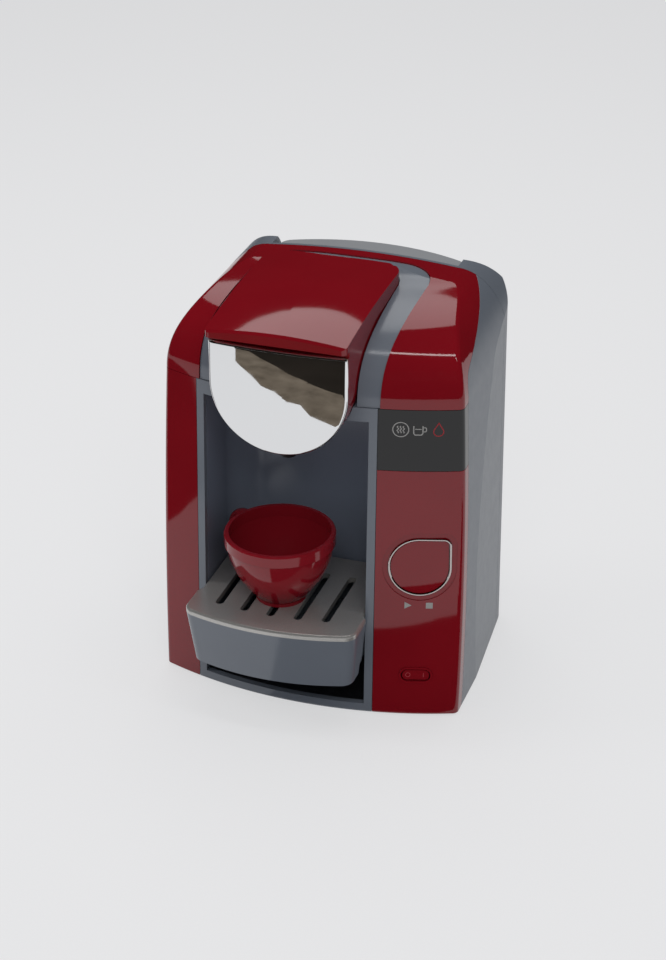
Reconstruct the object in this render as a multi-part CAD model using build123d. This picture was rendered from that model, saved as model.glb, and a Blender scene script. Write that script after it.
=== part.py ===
"""Toy capsule coffee maker.

Moulded ABS toy: a curved housing with a cup alcove, a brew head under a hinged lid, a control
panel with a start button and a rocker switch, a height-adjustable cup tray, a cup, and a
removable water tank at the rear. Millimetres, +Z up, front towards -Y, origin at the centre of
the overall footprint on the table.
"""
import os
from math import atan2, cos, radians, sin, sqrt

from build123d import *

os.makedirs("parts", exist_ok=True)

# ---- Overall form -----------------------------------------------------------------------
DEPTH = 185.5            # cup tray front to water tank rear
TRAY_REACH = 39.5        # cup tray front ahead of the housing front
TANK_BULGE = 8.0         # water tank rear behind the housing rear
BELLY_WIDTH = 187.0      # widest point of the sides
BELLY_Z = 80.0
BASE_TUCK = 0.5          # each side draws in by this from the widest point to the table
PART_TUCK = 3.0          # and by this up to the parting line
REAR_TUCK = 7.5          # and by this back to the rear corners
TAPER_START = 30.0       # the sides draw in from here to the rear
PART_Z = 198.0           # parting line between lower and upper shells
ROOF_Z = 245.0
ROOF_CROWN = 3.0
ROOF_RISE = 1.0          # the roof rises by this to the rear
SHOULDER_X = 32.0        # width of the rounded shoulder
REAR_ROUND = 24.0        # the roof rounds down over this length to the rear
REAR_DROP = 40.0         # and by this height
FRONT_R = 240.0          # plan radius of the bowed front
LEAN = 11.0              # the front leans back by this from base to parting line
FRONT_CORNER_R = 4.0
REAR_CORNER_R = 20.0
SOLE_Z = 1.2             # underside of the base plate; the feet stand below it
WALL = 2.2               # moulded wall
SEAM = 0.3               # gap between neighbouring shells
FIT = 0.3                # gap between a fixed piece and the wall around it
PIN_PLAY = 0.05          # radial running clearance of a hinge pin

HOUSING_DEPTH = DEPTH - TRAY_REACH - TANK_BULGE
HALF_WIDTH = BELLY_WIDTH / 2
BASE_HALF = HALF_WIDTH - BASE_TUCK
PART_HALF = HALF_WIDTH - PART_TUCK
REAR_HALF = HALF_WIDTH - REAR_TUCK
FRONT_Y = -DEPTH / 2 + TRAY_REACH      # housing front, on the centre line at the parting line
REAR_Y = FRONT_Y + HOUSING_DEPTH
AXIS_Y = FRONT_Y + FRONT_R             # upright axis of the bowed front
WIDE = 150.0             # larger than any half width, for cutting tools
FAR = (-WIDE, WIDE)

# ---- Shell split ------------------------------------------------------------------------
PANEL_SETBACK = 27.0     # front edge of the side panels behind the housing front
PANEL_TOP_FRONT_Z = 213.0
PANEL_TOP_REAR_Z = 239.0
PANEL_CORNER_R = 12.0
PANEL_INSET = 38.5       # the side panels lie outside this, in from the widest point
REAR_COVER_DEPTH = 26.0
REAR_SEAM = HOUSING_DEPTH - REAR_COVER_DEPTH

# ---- Alcove and brew head ---------------------------------------------------------------
PILLAR_WIDTH = 25.5      # red pillar left of the alcove
CONTROL_WIDTH = 49.5     # red panel right of it
ALCOVE_WIDTH = BELLY_WIDTH - PILLAR_WIDTH - CONTROL_WIDTH      # across the bezel
ALCOVE_LEFT = PILLAR_WIDTH - HALF_WIDTH
ALCOVE_RIGHT = HALF_WIDTH - CONTROL_WIDTH
ALCOVE_X = (ALCOVE_LEFT + ALCOVE_RIGHT) / 2
HEAD_SHIFT = 1.8         # the brew head sits right of the alcove's middle by this
HEAD_X = ALCOVE_X + HEAD_SHIFT
ALCOVE_DEPTH = 57.0      # housing front to the back wall
ALCOVE_CORNER_R = 18.0
BEZEL_SIDE = 4.8
BEZEL_TOP = 8.5
BEZEL_THICK = 4.0
LINER_WALL = 2.0
LINER_TOP_Z = 196.5
HEAD_WIDTH = 83.0
HEAD_ARC_Z = 209.5       # centre of the round underside of the head
HEAD_FRONT = -10.0       # head front face, ahead of the housing front
HEAD_RIM_FRONT_Z = 233.5
HEAD_RIM_REAR_Z = 239.3
HEAD_FLOOR_Z = 199.5     # floor of the rear half of the head
HEAD_CORNER_R = 13.0
LEDGE_Z = 221.0          # ledge that carries the disc holder
LEDGE_WIDTH = 1.8
BAND_LEFT_WIDTH = 14.3   # width of the grey band beside the head, at the front
BAND_RIGHT_WIDTH = 13.7
BAND_FLARE = 5.0         # the right edge runs outwards by this towards the rear
BAND_TAPER = 11.0        # the left edge runs inwards by this
BAND_BEND = 20.0         # from here to the rear
BAND_REAR_WIDTH = 11.0   # band behind the head
ROOF_STRIP = 7.5         # red roof between the band and the rear cover
BAND_REAR = REAR_SEAM - ROOF_STRIP
HEAD_REAR = BAND_REAR - BAND_REAR_WIDTH
BAND_CORNER_R = 20.0
BAND_SINK = 0.8
BAND_THICK = 3.0
CHROME_THICK = 4.0
CHROME_DOME_R = 350.0

# ---- Lid --------------------------------------------------------------------------------
LID_OVERHANG = 0.5
LID_FRONT = -15.5
LID_LIP_Z = 237.5        # underside of the front lip
LID_FRONT_TOP_Z = 244.5
LID_MIDDLE = 30.0
LID_MIDDLE_Z = 249.2
LID_TOP_Z = 250.5        # over the hinge
LID_BEVEL = 1.4          # bevel along the front edge
LID_CROWN_R = 315.0
LID_ARC = 12            # degrees of crown either side of the middle, more than the lid needs
LID_GAP = 0.3
LID_WALL = 2.2
LID_CORNER_R = 3.0
BARREL_R = 6.6           # rounded rear of the lid, about the hinge axis
BARREL_GAP = 0.4         # to the rear end of the head
HINGE_BACK = HEAD_REAR - BARREL_R - BARREL_GAP
HINGE_Z = LID_TOP_Z - BARREL_R
RIM_DROP = 0.5           # the rim of the head drops below the barrel by this
EAR_R = 3.3
LID_OPEN = 65.0          # degrees
LID_SWING_STOPS = (0.6, 0.7, 0.8, 0.9, 1.0)  # shares of the swing where the rear corners are cleared
PIN_R = 1.5
EAR_WIDTH = 5.0
EAR_OFFSET = 21.0        # ears either side of the head centre
EAR_GAP = 0.35

# ---- Drink disc and spout ---------------------------------------------------------------
DISC_Y = 28.0            # disc centre behind the housing front
DISC_R = 26.0
DISC_RIM_R = 29.0
DISC_RIM_T = 1.2
DISC_DEPTH = 6.5
HOLDER_T = 2.0
SPOUT_Y = 5.0            # spout centre behind the housing front
SPOUT_R = 7.0
SPOUT_TIP_Z = 160.0

# ---- Control panel ----------------------------------------------------------------------
DISPLAY_LOW_Z = 160.0
BUTTON_X = ALCOVE_RIGHT + 25.5
BUTTON_Z = 99.0
BUTTON_R = 18.5          # outside of the trim ring
BUTTON_CORNER_R = 4.5    # squared upper right corner of the button
RING_W = 1.3
RING_PROUD = 0.6
RING_DEEP = 4.0
BUTTON_GAP = 0.35
BUTTON_PROUD = 0.9
BUTTON_TRAVEL = 2.0
BUTTON_STEM = 18.0
RECESS_W = 3.2           # shallow step in the panel round the button
RECESS_DEEP = 0.5
SWITCH_X = ALCOVE_RIGHT + 25.0
SWITCH_Z = 27.5
SWITCH_LENGTH = 20.0
SWITCH_HEIGHT = 10.5
SWITCH_BEZEL_W = 1.2
SWITCH_BEZEL_DEEP = 3.0
ROCKER_GAP = 0.8
ROCKER_PIVOT = 4.5       # depth of the rocker pivot below the panel
BOARD_BACK = 32.0        # circuit board behind the housing front
BOARD_T = 1.6
BOARD_X = (ALCOVE_RIGHT + 10.0, ALCOVE_RIGHT + 40.0)
BOARD_Z = (70.0, 194.0)
POST_R = 3.2
LED_X = [ALCOVE_RIGHT + 13.0 + step for step in (0, 10, 20)]
LED_Z = 186.0

# ---- Cup tray ---------------------------------------------------------------------------
TRAY_TOP_Z = 67.0
TRAY_HEIGHT = 37.0
TRAY_TRAVEL = 28.0
TRAY_WIDTH = ALCOVE_WIDTH - 6.0         # in front of the bezel
TRAY_GAP = 0.5           # to the alcove wall on each side
TRAY_SAG = 9.0           # bow of the front
TRAY_TAPER = 3.5         # narrower at the bottom, each side
TRAY_RECEDE = 4.0        # front lower edge set back
TRAY_CORNER_R = 8.0
TRAY_WALL = 2.0
TRAY_FLOOR_Z = 39.0
TRAY_REAR_GAP = 3.0
TRAY_SKIRT = -12.0       # the skirt hangs only ahead of this
GRATE_T = 3.4
GRATE_EDGE_R = 1.6
SLOT_COUNT = 5
SLOT_PITCH = 16.6
SLOT_WIDTH = 5.0
SLOT_X = ALCOVE_X - 1.6  # middle slot
SLOT_FRONT = -24.0
SLOT_REAR = 33.0
LUG_OFFSET = 22.0
LUG_WIDTH = 4.0
LUG_HEAD = 8.0
LUG_HEIGHT = 10.0
LUG_Z = 50.0
LUG_GAP = 0.4

# ---- Cup --------------------------------------------------------------------------------
CUP_X = ALCOVE_X - 3.0
CUP_Y = 1.0              # cup centre behind the housing front
CUP_R = 33.0
CUP_HEIGHT = 44.0
CUP_BAND = 7.5
CUP_FOOT_R = 15.0
CUP_WALL = 1.8
CUP_CLEAR = 0.05
HANDLE_ANGLE = 145.0
HANDLE_REACH = 17.0
HANDLE_T = 4.0
HANDLE_W = 7.0

# ---- Base, feet, screws -----------------------------------------------------------------
BASE_T = 3.0
BASE_LIP_T = 5.0
FOOT_R = 6.5
FOOT_SINK = 1.5
FOOT_X = HALF_WIDTH - 25.5
FOOT_BACK = (24.0, HOUSING_DEPTH - 20.0)
SCREW_X = HALF_WIDTH - 23.5
SCREW_BACK = (40.0, HOUSING_DEPTH - 34.0)
SCREW_HEAD_R = 2.9
SCREW_R = 1.4
SCREW_LENGTH = 16.0
BOSS_R = 4.5
BOSS_TOP_Z = 10.0
POST_TOP_Z = 28.0
POST_RIB = 2.0

# ---- Battery compartment ----------------------------------------------------------------
CELL_R = 7.25
CELL_LENGTH = 49.5
CELL_NUB = 1.0
CELL_PITCH = 15.5
BATTERY_X = ALCOVE_RIGHT - 44.0
BATTERY_BACK = 86.0
BATTERY_WALL = 1.5
CONTACT_SPACE = 5.0
DOOR_T = 1.6
BATTERY_TOP_Z = SOLE_Z + DOOR_T + 2 * CELL_R + 2.4

# ---- Speaker ----------------------------------------------------------------------------
SPEAKER_X = ALCOVE_RIGHT + 12.0
SPEAKER_BACK = 76.0
SPEAKER_R = 17.0
SPEAKER_HOLE_R = 1.6

# ---- Water tank -------------------------------------------------------------------------
TANK_WIDTH = 116.0
TANK_DEPTH = 31.2
TANK_FRONT = HOUSING_DEPTH + TANK_BULGE - TANK_DEPTH   # behind the housing front
TANK_TOP_Z = 234.0
TANK_WALL = 1.8
TANK_GAP = 0.5
TANK_SIDE_END = 6.0      # the curved rear starts this far ahead of the housing rear
TANK_CORNER_R = 9.0
BAY_FLOOR_Z = 30.0
BAY_WALL = 1.8
TANK_LID_T = 2.2
TANK_HINGE_R = 2.4
TANK_EAR_OFFSET = 34.0
VALVE_R = 5.0
VALVE_LENGTH = 4.0


# ---- Construction helpers ---------------------------------------------------------------
def behind(distance):
    """Y coordinate at a distance behind the housing front."""
    return FRONT_Y + distance


def block(x, y, z):
    """Box between the low and high value given for each axis."""
    spans = (x, y, z)
    centre = [(low + high) / 2 for low, high in spans]
    return Pos(*centre) * Box(*[high - low for low, high in spans])


def upright(sketch, z):
    """Prism of a plan sketch between two heights."""
    return extrude(Pos(0, 0, z[0]) * sketch, amount=z[1] - z[0])


def across(points, x):
    """Prism of a (y, z) side outline between two x positions."""
    profile = Plane.YZ * make_face(Polyline(*points, close=True))
    return extrude(Pos(x[0], 0, 0) * profile, amount=x[1] - x[0])


def rod(start, axis, radius, length):
    """Round bar from a start point along a direction."""
    return extrude(Plane(origin=start, z_dir=axis) * Circle(radius), amount=length)


def save(shape, name, colour):
    """Write one sub-part to its STEP file."""
    shape.label = name
    shape.color = Color(*colour)
    export_step(shape, f"parts/{name}.step")


# ---- Housing envelope -------------------------------------------------------------------
def front_outline(inset):
    """Front view: barrelled sides, elliptical shoulders, crowned roof."""
    base, belly, part = (half - inset for half in (BASE_HALF, HALF_WIDTH, PART_HALF))
    edge = part - SHOULDER_X
    edge_z = ROOF_Z - ROOF_CROWN - inset
    side = ThreePointArc((base, 0), (belly, BELLY_Z), (part, PART_Z))
    shoulder = EllipticalCenterArc((edge, PART_Z), SHOULDER_X, edge_z - PART_Z, 0, arc_size=90)
    roof = ThreePointArc((edge, edge_z), (0, ROOF_Z - inset), (-edge, edge_z))
    halves = [side, shoulder]
    mirrored = [mirror(line, about=Plane.YZ) for line in halves]
    return make_face(Curve() + halves + mirrored + roof + Line((-base, 0), (base, 0)))


def side_outline(inset):
    """Side view: leaning front that curves back into the rising roof."""
    end = (behind(HOUSING_DEPTH + 12), ROOF_Z + ROOF_RISE - inset)
    front = Line((FRONT_Y - LEAN + inset, 0), (FRONT_Y + inset, PART_Z))
    top = Spline(
        (behind(inset), PART_Z),
        (behind(21 + 0.7 * inset), PART_Z + 31 - 0.7 * inset),
        (behind(75), ROOF_Z - 4 - inset),
        end,
        tangents=[(0.04, 1), (1, 0.02)],
    )
    rest = Polyline(end, (end[0], 0), (FRONT_Y - LEAN + inset, 0))
    return make_face(Curve() + [front, top, rest])


def plan_outline(inset):
    """Plan: sides that draw in towards the rounded rear corners."""
    front_half = HALF_WIDTH + 1 - inset
    rear_half = REAR_HALF - inset
    right = [(front_half, FRONT_Y - 2 * LEAN), (front_half, behind(TAPER_START)), (rear_half, REAR_Y - inset)]
    left = [(-x, y) for x, y in reversed(right)]
    face = make_face(Polyline(*right, *left, close=True))
    return fillet(face.vertices().group_by(Axis.Y)[-1], REAR_CORNER_R - inset)


def rear_outline(inset):
    """Side view of the roof rounding down to the rear."""
    rear, top = REAR_Y - inset, ROOF_Z + ROOF_RISE - inset
    start, low = REAR_Y - REAR_ROUND, top - REAR_DROP
    curve = EllipticalCenterArc((start, low), rear - start, top - low, 0, arc_size=90)
    front = FRONT_Y - 2 * LEAN
    above = 2 * ROOF_Z
    rest = Polyline((start, top), (start, above), (front, above), (front, -1), (rear, -1), (rear, low))
    return make_face(Curve() + [curve, rest])


def envelope(inset=0.0):
    """Solid inside the outer skin, taken in by an inset."""
    front = extrude(Plane.XZ * front_outline(inset), amount=DEPTH, both=True)
    barrel = revolve(Plane.YZ * side_outline(inset), Axis((0, AXIS_Y, 0), (0, 0, 1)))
    plan = upright(plan_outline(inset), (0, ROOF_Z + 10))
    rear = extrude(Plane.YZ * rear_outline(inset), amount=WIDE, both=True)
    return front & barrel & plan & rear


def side_zone(gap):
    """Region of the side panels, seen from the side, grown by a gap."""
    points = [
        (behind(PANEL_SETBACK - LEAN) - gap, -10),
        (behind(PANEL_SETBACK) - gap, PART_Z),
        (behind(PANEL_SETBACK + 2) - gap, PANEL_TOP_FRONT_Z + gap),
        (behind(REAR_SEAM) + gap, PANEL_TOP_REAR_Z + gap),
        (behind(REAR_SEAM) + gap, -10),
    ]
    face = make_face(Polyline(*points, close=True))
    top_front = face.vertices().sort_by_distance((points[2][0], points[2][1], 0))[0]
    face = fillet(top_front, PANEL_CORNER_R)
    solid = extrude(Plane.YZ * face, amount=WIDE, both=True)
    inner = HALF_WIDTH - PANEL_INSET
    return solid - block((-inner, inner), (-DEPTH, DEPTH), (-20, 2 * ROOF_Z))


OUTER = envelope()
corner_edges = OUTER.edges().filter_by(
    lambda edge: abs(edge.center().X) > PART_HALF - 3
    and edge.center().Y < behind(PANEL_SETBACK)
    and edge.length > PART_Z / 2
)
OUTER = fillet(corner_edges, FRONT_CORNER_R)
INNER = envelope(WALL)
INNER_PLUS = envelope(WALL / 2)
SKIN = OUTER - INNER
FRONT_SKIN = SKIN & block(FAR, (-DEPTH, behind(REAR_SEAM) - SEAM / 2), (SOLE_Z, 2 * ROOF_Z))
FRAME_SKIN = FRONT_SKIN - side_zone(SEAM / 2)

LOWER = (SOLE_Z, PART_Z - SEAM / 2)


def panel_plane(x, z):
    """Plane on the outer front surface, facing outwards, with its X to the right."""
    radius = FRONT_R + LEAN * (1 - z / PART_Z)
    y = AXIS_Y - sqrt(radius**2 - x**2)
    outward = Vector(x, y - AXIS_Y, 0).normalized()
    tilt = atan2(LEAN, PART_Z)
    normal = Vector(outward.X * cos(tilt), outward.Y * cos(tilt), sin(tilt))
    return Plane(origin=(x, y, z), x_dir=(-outward.Y, outward.X, 0), z_dir=normal)


BUTTON_PLANE = panel_plane(BUTTON_X, BUTTON_Z)
SWITCH_PLANE = panel_plane(SWITCH_X, SWITCH_Z)


def button_outline(grow=0.0):
    """Round outline whose upper right quarter is squared off."""
    radius = BUTTON_R + grow
    square = Pos(radius / 2, radius / 2) * Rectangle(radius, radius)
    square = fillet(square.vertices().sort_by_distance((radius, radius, 0))[0], BUTTON_CORNER_R + grow)
    return Circle(radius) + square


def switch_outline(grow=0.0):
    """Oval outline of the rocker switch."""
    return SlotOverall(SWITCH_LENGTH + 2 * grow, SWITCH_HEIGHT + 2 * grow)


def on_plane(plane, sketch, low, high):
    """Prism on a panel plane between two depths (positive is outwards)."""
    return extrude(plane.offset(low) * sketch, amount=high - low)


# ---- Front frame and panels -------------------------------------------------------------
def left_pillar():
    """Red front pillar left of the alcove."""
    return FRAME_SKIN & block((-WIDE, ALCOVE_LEFT - SEAM), (-DEPTH, DEPTH), LOWER)


def board_posts():
    """Posts on the back of the control panel that carry the circuit board."""
    posts = Part()
    for z in (BOARD_Z[0] + 6, BOARD_Z[1] - 44):
        for x in (BOARD_X[0] + 4, BOARD_X[1] - 4):
            posts += rod((x, behind(BOARD_BACK), z), (0, -1, 0), POST_R, BOARD_BACK + LEAN)
    return posts & INNER_PLUS


def control_panel():
    """Red panel right of the alcove, cut for the button, the switch and the display."""
    panel = FRAME_SKIN & block((ALCOVE_RIGHT + SEAM, WIDE), (-DEPTH, DEPTH), (SOLE_Z, DISPLAY_LOW_Z))
    panel += board_posts() & block(FAR, (-DEPTH, DEPTH), (0, DISPLAY_LOW_Z - SEAM))
    panel -= on_plane(BUTTON_PLANE, button_outline(PIN_PLAY), -9, 9)
    panel -= on_plane(BUTTON_PLANE, button_outline(RECESS_W), -9, 9) - envelope(RECESS_DEEP)
    panel -= on_plane(SWITCH_PLANE, switch_outline(PIN_PLAY), -9, 9)
    return panel


def display_panel():
    """Black gloss display strip under the parting line."""
    zone = block((ALCOVE_RIGHT + SEAM, WIDE), (-DEPTH, DEPTH), (DISPLAY_LOW_Z + SEAM, LOWER[1]))
    return FRAME_SKIN & zone


def band_outline(inset):
    """Plan outline of the grey band: straight at the front, drawn in on the left at the rear."""
    left = HEAD_X - HEAD_WIDTH / 2 - BAND_LEFT_WIDTH
    right = HEAD_X + HEAD_WIDTH / 2 + BAND_RIGHT_WIDTH
    points = [
        (left, FRONT_Y - 30),
        (left, behind(BAND_BEND)),
        (left + BAND_TAPER, behind(BAND_REAR)),
        (right + BAND_FLARE, behind(BAND_REAR)),
        (right, behind(0)),
        (right, FRONT_Y - 30),
    ]
    face = make_face(Polyline(*points, close=True))
    face = fillet(face.vertices().group_by(Axis.Y)[-1], BAND_CORNER_R)
    return offset(face, -inset, kind=Kind.INTERSECTION)


def upper_housing():
    """Red upper shell: shoulders and roof round the lid and the tank bay."""
    shell = FRAME_SKIN & block(FAR, (-DEPTH, DEPTH), (PART_Z + SEAM / 2, 2 * ROOF_Z))
    return shell - upright(band_outline(-SEAM / 2), (PART_Z - 5, 2 * ROOF_Z))


def side_panel(side):
    """Grey side panel with two screw posts; side is -1 for left and 1 for right."""
    near = block(sorted((0, side * WIDE)), (-DEPTH, DEPTH), (-20, 2 * ROOF_Z))
    panel = FRONT_SKIN & side_zone(-SEAM / 2) & near
    for back in SCREW_BACK:
        height = (BOSS_TOP_Z + SEAM, POST_TOP_Z)
        rib_y = (behind(back - POST_RIB / 2), behind(back + POST_RIB / 2))
        rib = block(sorted((side * SCREW_X, side * WIDE)), rib_y, height)
        post = Pos(side * SCREW_X, behind(back)) * upright(Circle(BOSS_R), height)
        panel += (post + rib) & INNER_PLUS
        panel -= Pos(side * SCREW_X, behind(back)) * upright(Circle(SCREW_R + PIN_PLAY), (0, POST_TOP_Z - 3))
    return panel


# ---- Rear cover and tank bay ------------------------------------------------------------
def rear_cover():
    """Grey rear shell with the open bay that holds the water tank."""
    bay_half = TANK_WIDTH / 2 + TANK_GAP
    bay_front = behind(TANK_FRONT) - TANK_GAP
    rear = (behind(REAR_SEAM) + SEAM / 2, DEPTH)
    cover = SKIN & block(FAR, rear, (SOLE_Z, 2 * ROOF_Z))
    pocket_x = (-bay_half - BAY_WALL, bay_half + BAY_WALL)
    pocket = block(pocket_x, (bay_front - BAY_WALL, REAR_Y), (BAY_FLOOR_Z - BAY_WALL, 2 * ROOF_Z))
    cover += pocket & envelope(WALL + FIT)
    cover += pocket & OUTER & block(FAR, rear, (0, 2 * ROOF_Z))
    cover -= block((-bay_half, bay_half), (bay_front, DEPTH), (BAY_FLOOR_Z, 2 * ROOF_Z))
    cover -= Pos(0, tank_middle_y(), BAY_FLOOR_Z) * Cylinder(VALVE_R + FIT, 10)
    return cover


def tank_middle_y():
    """Y of the middle of the tank, where its valve is."""
    return (behind(TANK_FRONT) + REAR_Y) / 2


# ---- Base -------------------------------------------------------------------------------
def battery_spans(grow=0.0):
    """Plan extent of the battery compartment as (x, y) spans."""
    half_x = CELL_LENGTH / 2 + CONTACT_SPACE + grow
    half_y = CELL_PITCH / 2 + CELL_R + 0.5 + grow
    middle = behind(BATTERY_BACK)
    return (BATTERY_X - half_x, BATTERY_X + half_x), (middle - half_y, middle + half_y)


def screw_places():
    """Plan positions of the four housing screws."""
    return [(side * SCREW_X, behind(back)) for side in (-1, 1) for back in SCREW_BACK]


def foot_places():
    """Plan positions of the four feet."""
    return [(side * FOOT_X, behind(back)) for side in (-1, 1) for back in FOOT_BACK]


def base_plate():
    """Dark base with foot sockets, screw bosses, speaker holes and battery opening."""
    top = SOLE_Z + BASE_T
    plate = envelope(WALL + FIT) & block(FAR, (-DEPTH, DEPTH), (SOLE_Z, top))
    sill = envelope(BEZEL_THICK + FIT)
    plate -= block((ALCOVE_LEFT - FIT, ALCOVE_RIGHT + FIT), (-DEPTH, behind(20)), (0, 10)) - sill
    for x, y in screw_places():
        boss = Pos(x, y) * upright(Circle(BOSS_R), (SOLE_Z, BOSS_TOP_Z))
        plate += boss
    x_span, y_span = battery_spans(BATTERY_WALL)
    plate += block(x_span, y_span, (SOLE_Z, top + 3)) - block(*battery_spans(), (SOLE_Z - 1, top + 5))
    speaker = Pos(SPEAKER_X, behind(SPEAKER_BACK))
    plate += speaker * upright(Circle(SPEAKER_R + 2) - Circle(SPEAKER_R + FIT), (SOLE_Z, top + 4))
    plate -= block(*battery_spans(), (SOLE_Z - 1, top + 5))
    plate += Pos(*door_screw_place()) * upright(Circle(BOSS_R), (top - 0.5, BOSS_TOP_Z + 1))
    plate -= block(*door_tab(FIT), (SOLE_Z - 1, SOLE_Z + DOOR_T + FIT / 2))
    plate -= Pos(*door_screw_place()) * upright(Circle(SCREW_R + PIN_PLAY), (0, BOSS_TOP_Z))
    for ring, count in ((0, 1), (5.5, 6), (11, 12)):
        holes = PolarLocations(ring, count) if ring else [Pos(0, 0)]
        for place in holes:
            plate -= speaker * place * upright(Circle(SPEAKER_HOLE_R), (SOLE_Z - 1, top + 1))
    for x, y in screw_places():
        plate -= Pos(x, y) * upright(Circle(SCREW_R + FIT), (SOLE_Z - 1, BOSS_TOP_Z + 1))
        plate -= Pos(x, y) * upright(Circle(SCREW_HEAD_R + FIT), (SOLE_Z - 1, SOLE_Z + 2.5))
    for x, y in foot_places():
        plate -= Pos(x, y) * upright(Circle(FOOT_R), (SOLE_Z - 1, SOLE_Z + FOOT_SINK))
    return plate


def rubber_feet():
    """Four round rubber feet pressed into the base."""
    pad = upright(Circle(FOOT_R), (0, SOLE_Z + FOOT_SINK))
    pad = chamfer(pad.edges().group_by(Axis.Z)[0], 0.6)
    return Compound(children=[Pos(x, y) * pad.solid() for x, y in foot_places()])


def screw(length):
    """Pan head screw standing on its head, with a cross recess."""
    shape = upright(Circle(SCREW_HEAD_R), (0, 2)) + upright(Circle(SCREW_R), (2, length))
    shape = chamfer(shape.edges().group_by(Axis.Z)[0], 0.6)
    for turn in (0, 90):
        shape -= Rot(0, 0, turn) * block((-1.8, 1.8), (-0.35, 0.35), (-1, 0.9))
    return shape


def housing_screws():
    """Four screws that hold the base to the housing."""
    body = Pos(0, 0, SOLE_Z + 0.5) * screw(SCREW_LENGTH)
    return Compound(children=[Pos(x, y) * body.solid() for x, y in screw_places()])


# ---- Batteries --------------------------------------------------------------------------
def battery_box():
    """Open-bottomed tray that houses the two cells above the base."""
    low = SOLE_Z + BASE_T + 3
    outer = block(*battery_spans(BATTERY_WALL), (low, BATTERY_TOP_Z + BATTERY_WALL))
    return outer - block(*battery_spans(), (low - 1, BATTERY_TOP_Z))


def cell_places():
    """Centre lines of the two cells as (y, z)."""
    z = SOLE_Z + DOOR_T + CELL_R + 1.2
    return [(behind(BATTERY_BACK) + side * CELL_PITCH / 2, z) for side in (-1, 1)]


def battery_cells():
    """Two AA cells lying opposite ways."""
    cells = []
    for (y, z), way in zip(cell_places(), (1, -1)):
        start = (BATTERY_X - way * CELL_LENGTH / 2, y, z)
        can = rod(start, (way, 0, 0), CELL_R, CELL_LENGTH - CELL_NUB)
        nub = rod((BATTERY_X + way * (CELL_LENGTH / 2 - CELL_NUB), y, z), (way, 0, 0), 2.6, CELL_NUB)
        can = fillet(can.edges().filter_by(GeomType.CIRCLE), 0.6)
        cells.append((can + nub).solid())
    return Compound(children=cells)


def battery_contacts():
    """Sprung and flat contact plates at the two ends of the compartment."""
    plates = []
    (x_low, x_high), _ = battery_spans()
    for y, z in cell_places():
        for wall_x, way in ((x_low, 1), (x_high, -1)):
            plate = block(sorted((wall_x + way * 0.1, wall_x + way * 0.6)), (y - 5, y + 5), (z - 5, z + 5))
            cone = Plane(origin=(wall_x + way * 0.6, y, z), z_dir=(way, 0, 0)) * Circle(4)
            tip = Plane(origin=(wall_x + way * (CONTACT_SPACE - 0.1), y, z), z_dir=(way, 0, 0)) * Circle(2)
            plates.append((plate + loft([cone, tip])).solid())
    return Compound(children=plates)


def door_tab(grow=0.0):
    """Plan extent of the screw tab of the battery door as (x, y) spans."""
    x_span, _ = battery_spans()
    middle = behind(BATTERY_BACK)
    return (x_span[1] - 1, x_span[1] + 12 + grow), (middle - 6 - grow, middle + 6 + grow)


def door_screw_place():
    """Plan position of the battery door screw."""
    return battery_spans()[0][1] + 7, behind(BATTERY_BACK)


def battery_door():
    """Flush door under the batteries, with grip ribs and a screw tab."""
    x_span, y_span = battery_spans(-FIT)
    door = block(x_span, y_span, (SOLE_Z, SOLE_Z + DOOR_T))
    door += block(*door_tab(), (SOLE_Z, SOLE_Z + DOOR_T))
    door -= Pos(*door_screw_place()) * upright(Circle(SCREW_R + FIT), (0, 10))
    for step in range(4):
        y = behind(BATTERY_BACK) + (step - 1.5) * 3
        door -= block((x_span[0] + 6, x_span[0] + 18), (y - 0.5, y + 0.5), (SOLE_Z - 1, SOLE_Z + 0.5))
    return door


def battery_door_screw():
    """Small screw that locks the battery door."""
    head = upright(Circle(SCREW_HEAD_R), (SOLE_Z - 1.1, SOLE_Z))
    head += upright(Circle(SCREW_R), (SOLE_Z, SOLE_Z + 8))
    for turn in (0, 90):
        head -= Rot(0, 0, turn) * block((-1.8, 1.8), (-0.35, 0.35), (0, SOLE_Z - 0.6))
    return Pos(*door_screw_place()) * head


# ---- Speaker ----------------------------------------------------------------------------
def speaker_frame():
    """Speaker basket and magnet, facing the holes in the base."""
    low = SOLE_Z + BASE_T
    rim = Circle(SPEAKER_R) - Circle(SPEAKER_R - 2.5)
    shape = upright(rim, (low, low + 2))
    shape += upright(Circle(SPEAKER_R), (low + 7, low + 8.2)) - upright(Circle(4), (low, low + 7))
    for place in PolarLocations(SPEAKER_R - 1.25, 4):
        shape += place * upright(Rectangle(2.5, 4), (low + 1, low + 7.5))
    shape += upright(Circle(9.5), (low + 8.2, low + 13))
    return Pos(SPEAKER_X, behind(SPEAKER_BACK)) * shape


def speaker_cone():
    """Paper cone inside the basket."""
    low = SOLE_Z + BASE_T
    r = SPEAKER_R - 2.7
    points = [(r, low + 0.4), (r, low + 1.2), (5, low + 6.2), (0, low + 6.6), (0, low + 5.8), (4.6, low + 5.4)]
    profile = Plane.XZ * make_face(Polyline(*points, close=True))
    return Pos(SPEAKER_X, behind(SPEAKER_BACK)) * revolve(profile, Axis.Z)


# ---- Alcove -----------------------------------------------------------------------------
def head_prism(y, grow=0.0):
    """Prism with the D section of the brew head between two y positions."""
    radius = HEAD_WIDTH / 2 + grow
    outline = Pos(HEAD_X, HEAD_ARC_Z) * Circle(radius)
    outline += Pos(HEAD_X, HEAD_ARC_Z + 30) * Rectangle(2 * radius, 60)
    return extrude(Pos(0, y[1], 0) * (Plane.XZ * outline), amount=y[1] - y[0])


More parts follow.
